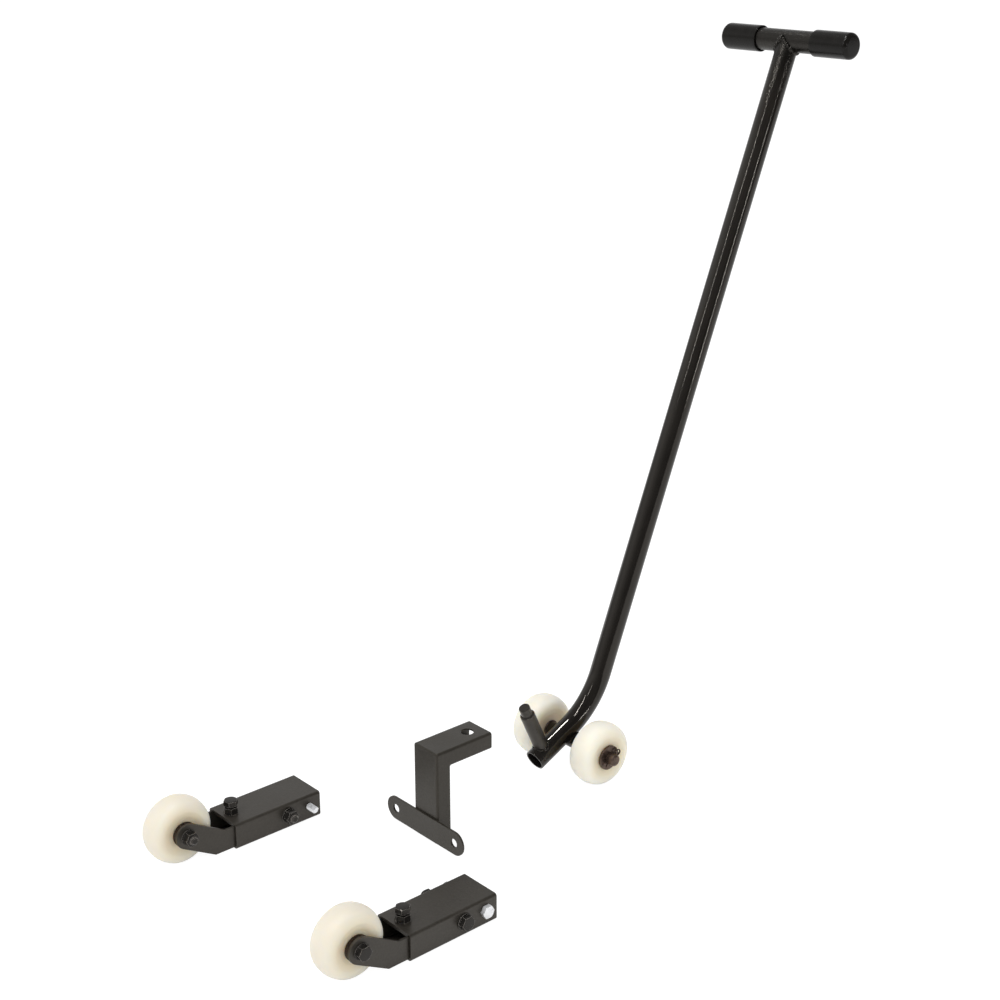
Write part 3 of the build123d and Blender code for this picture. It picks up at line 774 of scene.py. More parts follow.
def ring_piece(name, node, rings, edge, segments=64):
    """A piece of flat rings with rounded edges, each given by its place, two radii and thickness."""
    bm = bmesh.new()
    for place, inner, outer, thick in rings:
        outline = [(0, inner), (0, outer), (thick, outer), (thick, inner)]
        turned(bm, rounded(outline, edge, 3, closed=True), place, segments)
    place_piece(name, bm, [node])


# Geometry Nodes


def start_tree(name, labels):
    """A geometry tree with named numbers and a finish as inputs; gives its short calls and its inputs."""
    tree = bpy.data.node_groups.new(name, "GeometryNodeTree")
    kinds = {"Geometry": "Geometry", **dict.fromkeys(labels, "Float"), "Finish": "Material"}
    for label, kind in kinds.items():
        tree.interface.new_socket(label, in_out="INPUT", socket_type="NodeSocket" + kind)
    tree.interface.new_socket("Geometry", in_out="OUTPUT", socket_type="NodeSocketGeometry")
    nodes = Nodes(tree)
    return nodes, nodes.add("NodeGroupInput")


def end_tree(nodes, start, geometry):
    """Close a tree: realized instances, smooth faces and the finish."""
    real = nodes.add("GeometryNodeRealizeInstances", {"Geometry": geometry})["Geometry"]
    smooth = nodes.add("GeometryNodeSetShadeSmooth", {"Geometry": real})["Geometry"]
    dressed = nodes.add("GeometryNodeSetMaterial", {"Geometry": smooth, "Material": start["Finish"]})
    nodes.add("NodeGroupOutput", {"Geometry": dressed["Geometry"]})
    return nodes.tree


def thread_tree(name):
    """A helical ridge: a four-sided profile swept along a spiral."""
    nodes, start = start_tree(name, ("Crest radius", "Pitch", "Length", "Depth"))
    root = nodes.maths("SUBTRACT", start["Crest radius"], start["Depth"])
    turns = nodes.maths("DIVIDE", start["Length"], start["Pitch"])
    sizes = {"Rotations": turns, "Start Radius": root, "End Radius": root, "Height": start["Length"]}
    spiral = nodes.add("GeometryNodeCurveSpiral", {"Resolution": 32, **sizes})["Curve"]
    upright = nodes.add("GeometryNodeSetCurveNormal", {"Curve": spiral}, mode="Z_UP")["Curve"]
    section = nodes.add("GeometryNodeCurvePrimitiveCircle", {"Resolution": 4, "Radius": start["Depth"]})
    sweep = {"Curve": upright, "Profile Curve": section["Curve"], "Fill Caps": True}
    return end_tree(nodes, start, nodes.add("GeometryNodeCurveToMesh", sweep)["Mesh"])


def weld_tree(name):
    """A weld bead: overlapping flattened drops along an edge path, each a little different."""
    nodes, start = start_tree(name, ("Half width", "Ripple", "Uneven"))
    path = nodes.add("GeometryNodeMeshToCurve", {"Mesh": start["Geometry"]})["Curve"]
    spacing = {"Curve": path, "Length": start["Ripple"]}
    points = nodes.add("GeometryNodeResampleCurve", spacing, mode="LENGTH")["Curve"]
    heading = nodes.add("GeometryNodeInputTangent")["Tangent"]
    turn = nodes.add("FunctionNodeAlignRotationToVector", {"Vector": heading}, axis="X")["Rotation"]
    drop = nodes.add("GeometryNodeMeshUVSphere", {"Segments": 14, "Rings": 8, "Radius": 1.0})["Mesh"]
    least = nodes.maths("SUBTRACT", 1.0, start["Uneven"])
    most = nodes.plus(1.0, start["Uneven"])
    vary = nodes.add("FunctionNodeRandomValue", {2: least, 3: most, "Seed": 7}, data_type="FLOAT")[1]
    size = nodes.times(vary, start["Half width"])
    flattened = nodes.times(size, 0.62)
    scale = nodes.add("ShaderNodeCombineXYZ", {"X": flattened, "Y": size, "Z": size})["Vector"]
    drops = {"Points": points, "Instance": drop, "Rotation": turn, "Scale": scale}
    return end_tree(nodes, start, nodes.add("GeometryNodeInstanceOnPoints", drops)["Instances"])


TREES = {"Bolt thread": thread_tree, "Weld bead": weld_tree}


def grown(name, mesh, tree_name, values):
    """Run a geometry tree on a mesh with its inputs set by name, and give the plain result."""
    tree = bpy.data.node_groups.get(tree_name) or TREES[tree_name](tree_name)
    carrier = link(name, mesh)
    modifier = carrier.modifiers.new("Geometry", "NODES")
    modifier.node_group = tree
    for item in tree.interface.items_tree:
        if item.in_out == "INPUT" and item.name in values:
            modifier[item.identifier] = values[item.name]
    made = plain_mesh(carrier)
    bpy.data.objects.remove(carrier)
    return made


# Bolts and nuts


def hex_bolt(bm, seat, sizes, flats, grip, tail, slot):
    """A hexagon bolt: head above the seat, plain shank in the grip below it, cut thread on the tail."""
    hexagon(bm, seat, flats, sizes.head)
    radius, pitch = sizes.size / 2, sizes.pitch
    core = radius - pitch * CORE
    bevel = pitch * TIP_BEVEL
    foot = -(grip + tail)
    tip = [(foot, 0), (foot, core - bevel), (foot + bevel, core)]
    turned(bm, tip + [(-grip, core), (-grip, radius), (0, radius), (0, 0)], seat, 48)
    start = pitch * THREAD_START
    values = {
        "Crest radius": radius,
        "Pitch": pitch,
        "Length": tail - start,
        "Depth": pitch * RIDGE,
        "Finish": finish_for(slot),
    }
    thread = grown("thread", bpy.data.meshes.new("thread"), "Bolt thread", values)
    thread.transform(seat @ Matrix.Translation((0, 0, foot + start)))
    bm.from_mesh(thread)
    bpy.data.meshes.remove(thread)


def level_bolt(name, bolt, outward, sizes, flats, grip, slot):
    at = middle(bolt)
    at.y = side_y(bolt, outward) - outward * sizes.head
    tail = abs(at.y - side_y(bolt, -outward)) - grip
    bm = bmesh.new()
    hex_bolt(bm, crosswise(at, outward), sizes, flats, grip, tail, slot)
    place_piece(name, bm, [bolt], HEX_SHARP)


def hex_nut(name, nut, place, flats, height, bore):
    """A nut standing on place."""
    bm = bmesh.new()
    hexagon(bm, place, flats, height, bore)
    place_piece(name, bm, [nut], HEX_SHARP)


# Pieces


def wheel_profile(sizes, half, radius):
    """Half of a wheel's section mirrored: bore, hub face, dish, flat rim, shoulder and crowned tread."""
    hub = sizes.hub / 2
    crown_at = radius - sizes.crown
    shoulder_x = half - sizes.shoulder
    shoulder_r = crown_at + math.sqrt((sizes.crown - sizes.shoulder) ** 2 - shoulder_x**2)
    flank = [(hub, sizes.bore), (hub, sizes.dish), (half, radius - sizes.rim), (half, shoulder_r)]
    side = [tuple(p) for p in rounded(flank, [0, sizes.hub_round, sizes.rim_round, 0], 6)]
    lean = math.atan2(shoulder_x, shoulder_r - crown_at)
    side += arc(shoulder_x, shoulder_r, sizes.shoulder, math.pi / 2, lean, 16)
    side += arc(0.0, crown_at, sizes.crown, lean, 0.0, 12)
    side[:1] = [(hub - sizes.chamfer, sizes.bore), (hub, sizes.bore + sizes.chamfer)]
    return side + [(-x, r) for x, r in reversed(side[:-1])]


class MOVINGKIT_OT_wheels(Operator):
    """Turn the four nylon wheels"""

    bl_idname = "moving_kit.wheels"
    bl_label = "Wheels"

    def execute(self, context):
        sizes = context.scene.moving_kit.wheels
        for side, _ in SIDES:
            for kind in ("wheel", "tow_wheel"):
                node = f"{side}_{kind}"
                box = extent(node)
                profile = wheel_profile(sizes, box.y / 2, box.z / 2)
                turned_piece(f"{kind}_{side}", node, profile, crosswise(middle(node)), sizes.segments)
        return {"FINISHED"}


class MOVINGKIT_OT_arm_tubes(Operator):
    """Make the two arm tubes with softened rims and bolt holes"""

    bl_idname = "moving_kit.arm_tubes"
    bl_label = "Arm tubes"

    def execute(self, context):
        for side, _ in SIDES:
            copied_piece(f"arm_tube_{side}", f"{side}_arm_tube", context.scene.moving_kit.arms.rim)
        return {"FINISHED"}


class MOVINGKIT_OT_wheel_forks(Operator):
    """Make the two folded wheel forks with softened sheet edges"""

    bl_idname = "moving_kit.wheel_forks"
    bl_label = "Wheel forks"

    def execute(self, context):
        for side, _ in SIDES:
            copied_piece(f"fork_{side}", f"{side}_wheel_fork", context.scene.moving_kit.arms.sheet_edge)
        return {"FINISHED"}


class MOVINGKIT_OT_axle_rings(Operator):
    """Turn the axle bushes and the spacer rings beside the arm wheels"""

    bl_idname = "moving_kit.axle_rings"
    bl_label = "Axle rings"

    def execute(self, context):
        kit = context.scene.moving_kit
        hub = kit.wheels.hub
        for side, _ in SIDES:
            bush, spacers = f"{side}_axle_bush", f"{side}_wheel_spacers"
            at = middle(bush)
            box = extent(bush)
            sleeve = (crosswise(at - ACROSS * box.y / 2), kit.bolts.size / 2 + PLAY, box.z / 2, box.y)
            ring_piece(f"axle_bush_{side}", bush, [sleeve], kit.arms.ring_edge)
            rings = extent(spacers)
            stack = (rings.y - hub) / 2 - HUB_PLAY
            made = []
            for facing in BOTH_WAYS:
                for start, reach in ((HUB_PLAY, 1.0), (HUB_PLAY + stack / 2, kit.arms.outer_ring)):
                    place = crosswise(at + ACROSS * facing * (hub / 2 + start), facing)
                    made.append((place, box.z / 2 + RING_SLIP, rings.z / 2 * reach, stack / 2 - RING_GAP))
            ring_piece(f"wheel_rings_{side}", spacers, made, kit.arms.ring_edge)
        return {"FINISHED"}


class MOVINGKIT_OT_black_bolts(Operator):
    """Make the black axle bolts, cross bolts and clamp screws with their nuts and washers"""

    bl_idname = "moving_kit.black_bolts"
    bl_label = "Black bolts"

    def execute(self, context):
        sizes = context.scene.moving_kit.bolts
        for side, outward in SIDES:
            for job in ("axle", "cross"):
                self.through_bolt(sizes, side, outward, job)
            self.clamp(sizes, side)
        return {"FINISHED"}

    def through_bolt(self, sizes, side, outward, job):
        """A bolt through an arm, its nut and its two washers."""
        bolt, nut, washers = f"{side}_{job}_bolt", f"{side}_{job}_nut", f"{side}_{job}_washers"
        box = extent(nut)
        seat = middle(bolt)
        seat.y = side_y(nut, outward)
        grip = abs(side_y(bolt, outward) - outward * sizes.head - seat.y)
        level_bolt(f"{job}_bolt_{side}", bolt, outward, sizes, box.z, grip, "black_bolts")
        hex_nut(f"{job}_nut_{side}", nut, crosswise(seat, -outward), box.z, box.y, sizes.bore)
        pair = extent(washers)
        made = []
        for facing in BOTH_WAYS:
            foot = middle(washers) + ACROSS * facing * (pair.y / 2 - sizes.washer)
            made.append((crosswise(foot, facing), sizes.size / 2 + PLAY, pair.z / 2, sizes.washer))
        ring_piece(f"{job}_washers_{side}", washers, made, sizes.washer_edge)

    def clamp(self, sizes, side):
        """A clamp nut on the arm's roof and the screw in it, threaded up to its head."""
        nut, screw = f"{side}_clamp_nut", f"{side}_clamp_screw"
        foot = underside(nut)
        box = extent(nut)
        hex_nut(f"clamp_nut_{side}", nut, frame_at(foot, UP, ALONG), box.y, box.z, sizes.bore)
        low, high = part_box(screw)
        seat = Vector((foot.x, foot.y, high.z - sizes.head))
        place = frame_at(seat, UP, Matrix.Rotation(sizes.screw_turn, 3, "Z") @ ALONG)
        bm = bmesh.new()
        hex_bolt(bm, place, sizes, box.y, NECK, seat.z - low.z - NECK, "black_bolts")
        place_piece(f"clamp_screw_{side}", bm, [screw], HEX_SHARP)


class MOVINGKIT_OT_mount_bolts(Operator):
    """Make the bright zinc mounting bolts with their free threaded ends"""

    bl_idname = "moving_kit.mount_bolts"
    bl_label = "Mount bolts"

    def execute(self, context):
        sizes = context.scene.moving_kit.mount_bolts
        for side, outward in SIDES:
            bolt = f"{side}_mount_bolt"
            grip = extent(f"{side}_arm_tube").y
            level_bolt(f"mount_bolt_{side}", bolt, outward, sizes, extent(bolt).z, grip, "zinc_bolts")
        return {"FINISHED"}


def bracket_section(width, thick, corner, depth=0.0):
    """Rounded rectangle of the flat tube as (across, in from the outer face) pairs, from a depth on."""
    half = width / 2
    outline = rounded([(-half, 0), (half, 0), (half, thick), (-half, thick)], corner, 5, closed=True)
    return [(p.x, p.y + depth) for p in outline]


def bracket_shell(bm, front, top, reach, section, elbow):
    """One wall of the bracket's tube: up the leg, round the mitred corner and out along the arm."""

    def mitre(t, a):
        """Where the corner lies at a depth in from the outer face, at a turn round it."""
        if t >= elbow:
            return front + t, top - t
        return front + elbow + (elbow - t) * math.cos(a), top - elbow + (elbow - t) * math.sin(a)

    steps = 8
    turns = [math.pi - math.pi / 2 * k / steps for k in range(steps + 1)]
    stations = [[(front + t, top * share) for _, t in section] for share in (0.0, 0.3, 0.6)]
    stations += [[mitre(t, a) for _, t in section] for a in turns]
    stations += [[(front + reach * share, top - t) for _, t in section] for share in (0.6, 1.0)]
    return [[bm.verts.new((x, y, z)) for (x, z), (y, _) in zip(row, section)] for row in stations]


class MOVINGKIT_OT_bracket(Operator):
    """Make the hitch bracket: its mitred flat tube and its foot plate"""

    bl_idname = "moving_kit.bracket"
    bl_label = "Hitch bracket"

    def execute(self, context):
        sizes = context.scene.moving_kit.bracket
        low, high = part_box("hitch_leg")
        _, arm_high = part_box("hitch_arm")
        width, thick = high.y - low.y, high.x - low.x
        front, top, reach = low.x, arm_high.z, arm_high.x - low.x
        wall = sizes.wall
        outer = bracket_section(width, thick, sizes.corner)
        inner = bracket_section(width - 2 * wall, thick - 2 * wall, sizes.corner - wall, wall)
        bm = bmesh.new()
        outside = bracket_shell(bm, front, top, reach, outer, sizes.elbow)
        inside = bracket_shell(bm, front, top, reach, inner, INNER_ELBOW)
        skin(bm, outside + inside[::-1], bored=True)
        tube = link("bracket_tube_cut", finished_mesh("bracket_tube_cut", bm, PLAIN_SHARP))
        bm = bmesh.new()
        spare = 0.01
        at = (front + sizes.hole_setback, 0, top - thick - spare)
        run = thick + 2 * spare
        turned(bm, [(0, 0), (0, sizes.hole), (run, sizes.hole), (run, 0)], frame_at(at, UP, ALONG))
        drill = link("drill", finished_mesh("drill", bm, PLAIN_SHARP))
        cut = tube.modifiers.new("Hitch hole", "BOOLEAN")
        cut.operation = "DIFFERENCE"
        cut.solver = "EXACT"
        cut.object = drill
        drilled = plain_mesh(tube)
        bpy.data.objects.remove(tube)
        bpy.data.objects.remove(drill)
        bm = bmesh.new()
        bm.from_mesh(drilled)
        bpy.data.meshes.remove(drilled)
        bmesh.ops.remove_doubles(bm, verts=bm.verts, dist=MERGE)
        soften(bm, sizes.edge, CUT_CREASE, slide=False)
        place_piece("bracket_tube", bm, ["hitch_leg", "hitch_arm"], SHEET_SHARP)
        copied_piece("bracket_plate", "hitch_plate", sizes.edge)
        return {"FINISHED"}


def tow_line(sizes):
    """Points and headings of the tow tube's middle line, from the open foot to the handle's axis."""
    foot_dir = Vector((math.cos(sizes.foot_rise), 0, math.sin(sizes.foot_rise)))
    foot_up = Vector((-foot_dir.z, 0, foot_dir.x))
    bar_dir = Vector((math.sin(sizes.lean), 0, math.cos(sizes.lean)))
    start = middle("tow_axle") + foot_up * sizes.axle_drop - foot_dir * sizes.axle_setback
    centre = start + foot_dir * sizes.foot + foot_up * sizes.bend
    turn = math.pi / 2 - sizes.lean - sizes.foot_rise
    foot_steps, bend_steps, bar_steps = 8, 24, 40
    line = [(start + foot_dir * sizes.foot * k / foot_steps, foot_dir) for k in range(foot_steps + 1)]
    for k in range(1, bend_steps + 1):
        a = turn * k / bend_steps
        heading = foot_dir * math.cos(a) + foot_up * math.sin(a)
        outwards = -foot_up * math.cos(a) + foot_dir * math.sin(a)
        line.append((centre + outwards * sizes.bend, heading))
    bend_end = line[-1][0]
    run = (middle("tow_crossbar") - bend_end).dot(bar_dir)
    line += [(bend_end + bar_dir * run * k / bar_steps, bar_dir) for k in range(1, bar_steps + 1)]
    return line, foot_dir, foot_up, bar_dir


class MOVINGKIT_OT_tow_tube(Operator):
    """Bend the tow tube and make the handle's crossbar"""

    bl_idname = "moving_kit.tow_tube"
    bl_label = "Tow tube and crossbar"

    def execute(self, context):
        sizes = context.scene.moving_kit.tow_bar
        line, foot_dir, _, _ = tow_line(sizes)
        lip, outer, inner = sizes.lip, sizes.radius, sizes.radius - sizes.wall
        start = line[0][0]
        rim = [(0.0, outer - lip), (lip * 0.3, outer - lip * 0.3), (lip, outer)]
        stations = [(start + foot_dir * along, foot_dir, radius) for along, radius in rim]
        stations += [(point, heading, outer) for point, heading in line[1:]]
        stations += [(point, heading, inner) for point, heading in reversed(line[1:])]
        stations += [(start + foot_dir * lip, foot_dir, inner), (start, foot_dir, inner + lip)]
        bm = bmesh.new()
        skin(bm, [tube_row(bm, *station, sizes.segments) for station in stations], bored=True)
        place_piece("tow_bar_tube", bm, ["tow_tube"])
        run = extent("tow_crossbar").y
        place = crosswise(middle("tow_crossbar") - ACROSS * run / 2)
        ring_piece("handle_bar", "tow_crossbar", [(place, inner, outer, run)], lip, sizes.segments)
        return {"FINISHED"}


class MOVINGKIT_OT_grip_caps(Operator):
    """Mould the two rubber grip caps"""

    bl_idname = "moving_kit.grip_caps"
    bl_label = "Grip caps"

    def execute(self, context):
        sizes = context.scene.moving_kit.tow_bar
        bore = sizes.radius + PLAY
        end, inside = sizes.cap, sizes.cap - sizes.cap_end
        plain, dome = 0.004, 0.0004
        for side, outward in SIDES:
            cap = f"{side}_grip_cap"
            radius = extent(cap).z / 2
            profile = [(inside, 0), (inside, bore)]
            profile += [(along, bore + out) for along, out in MOUTH_FLARE]
            profile += [(along, radius - inwards) for along, inwards in MOUTH_EDGE]
            closed_end = [(plain, radius), (end - dome, radius), (end, 0.0)]
            profile += rounded(closed_end, [0, sizes.cap_round, 0], 10)
            at = middle(cap)
            at.y = side_y(cap, -outward)
            turned_piece(f"grip_{side}", cap, profile, crosswise(at, outward), sizes.segments, SOFT_SHARP)
        return {"FINISHED"}


class MOVINGKIT_OT_hitch_peg(Operator):
    """Turn the shouldered hitch peg"""

    bl_idname = "moving_kit.hitch_peg"
    bl_label = "Hitch peg"

    def execute(self, context):
        sizes = context.scene.moving_kit.tow_bar
        line, foot_dir, foot_up, _ = tow_line(sizes)
        foot = line[0][0] + foot_dir * sizes.peg_setback
        # The peg starts inside the tube
        sink = sizes.radius * 0.6
        outline = [
            (sink, 0),
            (sink, sizes.peg_radius),
            (sizes.peg_shoulder, sizes.peg_radius),
            (sizes.peg_shoulder, sizes.peg_tip_radius),
            (sizes.peg_tip, sizes.peg_tip_radius),
            (sizes.peg_tip, 0),
        ]
        shoulder, neck, tip = 0.0009, 0.0005, 0.0014
        roundings = [0, 0, shoulder, neck, tip, 0]
        place = frame_at(foot, foot_up, ACROSS)
        turned_piece("peg", "hitch_peg", rounded(outline, roundings, 5), place, sizes.segments)
        return {"FINISHED"}


class MOVINGKIT_OT_tow_axle(Operator):
    """Make the tow axle with its sleeve, washers and split pins"""

    bl_idname = "moving_kit.tow_axle"
    bl_label = "Tow axle"

    def execute(self, context):
        sizes = context.scene.moving_kit.tow_bar
        at = middle("tow_axle")
        bore, edge = sizes.axle_bore, sizes.ring_edge
        sleeve = extent("axle_sleeve")
        tube = (crosswise(at - ACROSS * sleeve.y / 2), bore, sleeve.z / 2, sleeve.y)
        ring_piece("sleeve", "axle_sleeve", [tube], edge)
        rod = extent("tow_axle")
        radius = rod.z / 2
        outline = [(0, 0), (0, radius), (rod.y, radius), (rod.y, 0)]
        profile = rounded(outline, [0, sizes.axle_round, sizes.axle_round, 0], 8)
        turned_piece("axle_rod", "tow_axle", profile, crosswise(at - ACROSS * rod.y / 2))
        box = extent("tow_washers")
        inner = (sleeve.y / 2, sizes.inner_washer, sizes.inner_washer_t)
        outer = (box.y / 2 - sizes.outer_washer_t, box.z / 2, sizes.outer_washer_t)
        made = []
        for facing in BOTH_WAYS:
            for face, reach, thick in (inner, outer):
                made.append((crosswise(at + ACROSS * facing * face, facing), bore, reach, thick))
        ring_piece("tow_axle_washers", "tow_washers", made, edge)
        half_pin = 0.0015
        pin_y = extent("split_pins").y / 2 - half_pin
        bm = bmesh.new()
        for facing in BOTH_WAYS:
            self.split_pin(bm, sizes, at + ACROSS * facing * pin_y)
        place_piece("cotter_pins", bm, ["split_pins"], SOFT_SHARP)
        return {"FINISHED"}

    def split_pin(self, bm, sizes, at):
        """One split pin: a looped eye beside the axle and two legs through it, spread at their ends."""
        wire, eye, loop_r = sizes.pin_wire, sizes.pin_eye, sizes.pin_loop
        end = eye - sizes.pin
        # A leg up from its spread tip, as distances beside and along the pin
        leg = [(0.0034, end + 0.0008), (0.0022, end + 0.0022)]
        leg += [(wire, -0.006), (wire, eye - loop_r - 0.0006)]
        steps = 16
        turns = [math.radians(-170 + 340 * k / steps) for k in range(steps + 1)]
        loop = [(loop_r * math.sin(a) * 0.9, eye + loop_r * math.cos(a)) for a in turns]
        out = Vector((math.cos(sizes.pin_rise), 0, math.sin(sizes.pin_rise)))
        beside = Vector((out.z, 0, -out.x))
        flat = [(-u, w) for u, w in leg] + loop + leg[::-1]
        path = [at + beside * u + out * w for u, w in flat]
        rows = [[bm.verts.new(path[0])]]
        for i, point in enumerate(path):
            heading = (path[min(i + 1, len(path) - 1)] - path[max(i - 1, 0)]).normalized()
            rows.append(tube_row(bm, point, heading, wire, 12, wide=1.6))
        skin(bm, rows + [[bm.verts.new(path[-1])]])


def path_mesh(paths):
    """A mesh of edges only from lists of points; a path that ends where it starts is closed."""
    verts, edges = [], []
    for points in paths:
        base = len(verts)
        closed = (points[0] - points[-1]).length < MERGE
        kept = points[:-1] if closed else points
        verts += kept
        edges += [(base + i, base + i + 1) for i in range(len(kept) - 1)]
        if closed:
            edges.append((base + len(kept) - 1, base))
    mesh = bpy.data.meshes.new("weld_path")
    mesh.from_pydata([tuple(v) for v in verts], edges, [])
    return mesh


def saddle(at, first, second, up, radius, tube):
    """The closed line where a round bar meets a tube that runs along the second direction."""
    path = []
    for c, s in directions(72) + [(1.0, 0.0)]:
        rise = math.sqrt(max(0.0, tube**2 - (radius * c) ** 2))
        path.append(at + first * radius * c + second * radius * s + up * rise)
    return path


class MOVINGKIT_OT_welds(Operator):
    """Lay the weld beads of the tow bar, the bracket and the clamp nuts"""

    bl_idname = "moving_kit.welds"
    bl_label = "Weld beads"

    def execute(self, context):
        kit = context.scene.moving_kit
        handle, *lower = self.tow_bar_paths(kit.tow_bar)
        self.lay("handle_welds", [handle], "tow_bar", "bar_paint", share=1.2, uneven=0.32, stride=1.25)
        self.lay("tow_bar_welds", lower, "tow_bar", "bar_paint", share=0.75, uneven=0.2)
        self.lay("bracket_welds", self.bracket_paths(), "base", "bracket_paint", share=0.8, uneven=0.14)
        self.lay("clamp_nut_welds", self.nut_paths(), "base", "arm_paint", share=0.55, uneven=0.14)
        return {"FINISHED"}

    def lay(self, name, paths, body, slot, share, uneven, stride=1.0):
        """One bead piece on its body, with its share of the full width, unevenness and stride in ripples."""
        sizes = bpy.context.scene.moving_kit.welds
        values = {
            "Half width": sizes.width * share,
            "Ripple": sizes.ripple * stride,
            "Uneven": uneven,
            "Finish": finish_for(slot),
        }
        made = grown(name + "_path", path_mesh(paths), "Weld bead", values)
        made.name = name
        piece = link(name, made)
        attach(piece, body)

    def tow_bar_paths(self, sizes):
        """Saddles at the handle and the peg, and the ring where the sleeve meets the tube."""
        line, foot_dir, foot_up, bar_dir = tow_line(sizes)
        r = sizes.radius
        handle = saddle(middle("tow_crossbar"), ACROSS.cross(bar_dir), ACROSS, -bar_dir, r, r)
        peg_foot = line[0][0] + foot_dir * sizes.peg_setback
        peg = saddle(peg_foot, ACROSS, foot_dir, foot_up, sizes.peg_radius, r)
        axle = middle("tow_axle")
        sleeve_r = extent("axle_sleeve").z / 2
        limit = math.acos((-sizes.axle_drop + sleeve_r) / r)
        steps = 24
        sleeve = []
        for sign in BOTH_WAYS:
            for k in range(steps + 1):
                a = limit + (math.tau - 2 * limit) * k / steps
                a = a if sign > 0 else math.tau - a
                height = sizes.axle_drop + r * math.cos(a)
                reach = math.sqrt(max(0.0, sleeve_r**2 - height**2))
                sleeve.append(axle + foot_up * height + ACROSS * r * math.sin(a) + foot_dir * sign * reach)
        return [handle, peg, sleeve + sleeve[:1]]

    def bracket_paths(self):
        """Behind the plate along both sides of the leg, and in the inner corner of the mitre."""
        leg_low, leg_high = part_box("hitch_leg")
        _, arm_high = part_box("hitch_arm")
        plate_low, plate_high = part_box("hitch_plate")
        inset, welded, steps = 0.003, 0.85, 12
        bottom = plate_low.z + inset
        rise = plate_high.z - plate_low.z - 2 * inset
        heights = [bottom + rise * k / steps for k in range(steps + 1)]
        paths = [[Vector((plate_high.x, sign * leg_high.y, z)) for z in heights] for sign in BOTH_WAYS]
        inner_z = arm_high.z - (leg_high.x - leg_low.x)
        half = leg_high.y * welded
        paths.append([Vector((leg_high.x, half * share, inner_z)) for share in WELD_SHARES])
        return paths

    def nut_paths(self):
        """Short tacks at the foot of each clamp nut."""
        paths = []
        for side, _ in SIDES:
            nut = f"{side}_clamp_nut"
            for turn in (30, 150, 270):
                c, s = math.cos(math.radians(turn)), math.sin(math.radians(turn))
                at = underside(nut) + Vector((c, s, 0)) * extent(nut).y / 2
                paths.append([at + Vector((-s, c, 0)) * TACK * share for share in WELD_SHARES])
        return paths


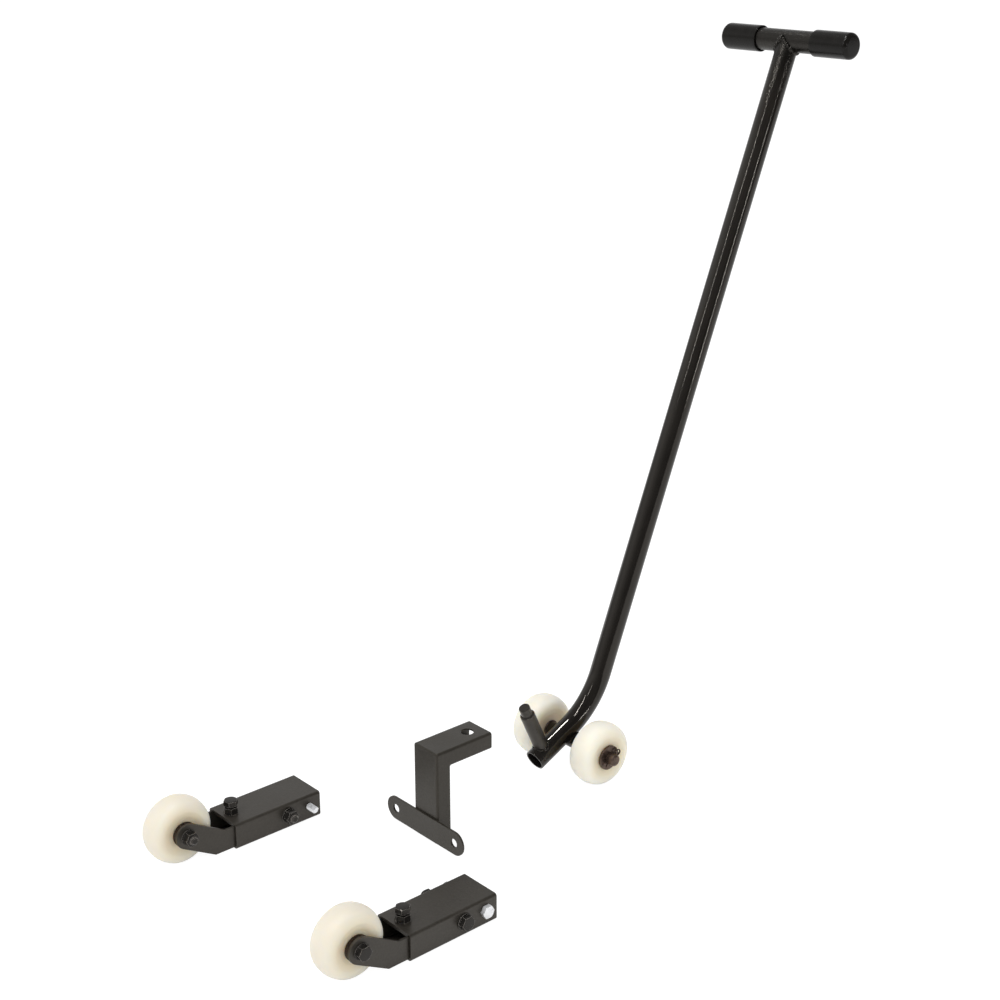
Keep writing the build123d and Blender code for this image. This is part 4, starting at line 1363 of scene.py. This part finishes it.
class MOVINGKIT_OT_stage(Operator):
    """Set the camera, the white floor and the soft studio light"""

    bl_idname = "moving_kit.stage"
    bl_label = "Stage"

    def execute(self, context):
        scene = context.scene
        sizes = scene.moving_kit.stage
        scene.view_settings.view_transform = "Standard"
        lens = bpy.data.cameras.new("camera")
        lens.lens = sizes.lens
        lens.sensor_width = 36.0
        scene.camera = link("camera", lens)
        scene.camera.location = middle("tow_axle") + Vector(sizes.camera)
        scene.camera.rotation_euler = sizes.camera_turn
        self.floor(sizes)
        self.room(scene, sizes.room, sizes.ceiling)
        for name, place, along, size in LAMPS:
            self.lamp(name, place, along, size, getattr(sizes, name))
        return {"FINISHED"}

    def floor(self, sizes):
        """A wide pale floor that shows white and keeps a faint shadow."""
        bm = bmesh.new()
        bmesh.ops.create_circle(bm, cap_ends=True, radius=sizes.floor_radius, segments=64)
        bmesh.ops.translate(bm, verts=bm.verts, vec=(0, 0, -sizes.floor_drop))
        mesh = bpy.data.meshes.new("floor")
        bm.to_mesh(mesh)
        bm.free()
        floor = link("floor", mesh)
        material = bpy.data.materials.new("floor_white")
        material.use_nodes = True
        nodes = Nodes(material.node_tree)
        nodes.tree.nodes.clear()
        path = nodes.add("ShaderNodeLightPath")
        mirrored = nodes.times(path["Is Glossy Ray"], sizes.floor_gloss)
        seen = nodes.maths("MAXIMUM", path["Is Camera Ray"], mirrored)
        seen = nodes.maths("MAXIMUM", seen, path["Is Transmission Ray"])
        matt = nodes.add("ShaderNodeBsdfDiffuse", {"Color": shade(sizes.floor_paint, 1.0)})["BSDF"]
        glow = nodes.add("ShaderNodeEmission", {"Color": WHITE, "Strength": sizes.floor_white})["Emission"]
        part = nodes.times(seen, sizes.floor_seen)
        mixed = nodes.add("ShaderNodeMixShader", {"Fac": part, 1: matt, 2: glow})["Shader"]
        nodes.add("ShaderNodeOutputMaterial", {"Surface": mixed})
        mesh.materials.append(material)

    def room(self, scene, wall, ceiling):
        """A pale room: white where seen, softer as a light, dimmer above and, in the gloss, on the right."""
        scene.world = bpy.data.worlds.new("room")
        scene.world.use_nodes = True
        nodes = Nodes(scene.world.node_tree)
        nodes.tree.nodes.clear()
        path = nodes.add("ShaderNodeLightPath")
        where = nodes.add("ShaderNodeTexCoord")["Object"]
        way = nodes.add("ShaderNodeSeparateXYZ", {"Vector": where})
        back = nodes.dot(where, VIEW_WAY)
        seen = nodes.maths("MAXIMUM", path["Is Camera Ray"], path["Is Transmission Ray"])
        behind = nodes.times(path["Is Glossy Ray"], nodes.fit(back, 0.66, 0.90))
        seen = nodes.maths("MAXIMUM", seen, behind)
        lit = nodes.fit(way["Z"], 0.25, 0.75, wall, ceiling)
        lit = nodes.times(lit, nodes.fit(way["Y"], -0.7, 0.7, 1.0, 1.2))
        facing = nodes.times(path["Is Diffuse Ray"], nodes.fit(back, -0.9, 0.0, 1.0, 0.0))
        lit = nodes.times(lit, nodes.plus(1.0, facing))
        from_left = nodes.fit(way["Y"], -0.6, 0.4, 0.26, 1.0)
        shown = nodes.times(from_left, nodes.fit(way["Z"], 0.08, 0.3, 0.5, 1.0))
        hidden = nodes.times(path["Is Glossy Ray"], nodes.maths("SUBTRACT", 1.0, shown))
        lit = nodes.times(lit, nodes.maths("SUBTRACT", 1.0, hidden))
        level = nodes.maths("MAXIMUM", seen, lit)
        light = nodes.add("ShaderNodeBackground", {"Color": WHITE, "Strength": level})["Background"]
        nodes.add("ShaderNodeOutputWorld", {"Surface": light})

    def lamp(self, name, place, along, size, power):
        data = bpy.data.lights.new(name, "AREA")
        data.shape = "RECTANGLE"
        data.size, data.size_y = size
        data.energy = power
        link(name, data).matrix_world = frame_at(place, Vector(place) - LAMP_AIM, along)


OPERATORS = (
    MOVINGKIT_OT_stage,
    MOVINGKIT_OT_wheels,
    MOVINGKIT_OT_arm_tubes,
    MOVINGKIT_OT_wheel_forks,
    MOVINGKIT_OT_axle_rings,
    MOVINGKIT_OT_black_bolts,
    MOVINGKIT_OT_mount_bolts,
    MOVINGKIT_OT_bracket,
    MOVINGKIT_OT_tow_tube,
    MOVINGKIT_OT_grip_caps,
    MOVINGKIT_OT_hitch_peg,
    MOVINGKIT_OT_tow_axle,
    MOVINGKIT_OT_welds,
)


class MOVINGKIT_PT_panel(Panel):
    """Moving kit tools in the sidebar"""

    bl_idname = "MOVINGKIT_PT_panel"
    bl_label = "Moving Kit"
    bl_space_type = "VIEW_3D"
    bl_region_type = "UI"
    bl_category = "Moving Kit"

    def draw(self, context):
        for operator in OPERATORS:
            self.layout.operator(operator.bl_idname)


CLASSES = (
    WheelSettings,
    ArmSettings,
    BoltSettings,
    MountBoltSettings,
    BracketSettings,
    TowBarSettings,
    WeldSettings,
    StageSettings,
    KitSettings,
    *OPERATORS,
    MOVINGKIT_PT_panel,
)


def register():
    """Register the classes and the scene's settings."""
    for made in CLASSES:
        bpy.utils.register_class(made)
    bpy.types.Scene.moving_kit = PointerProperty(type=KitSettings)


def unregister():
    """Take the settings and the classes away again."""
    del bpy.types.Scene.moving_kit
    for made in reversed(CLASSES):
        bpy.utils.unregister_class(made)


def main():
    """Build every piece."""
    register()
    for operator in OPERATORS:
        group, name = operator.bl_idname.split(".")
        getattr(getattr(bpy.ops, group), name)()
    bpy.context.view_layer.update()


if __name__ == "__main__":
    main()
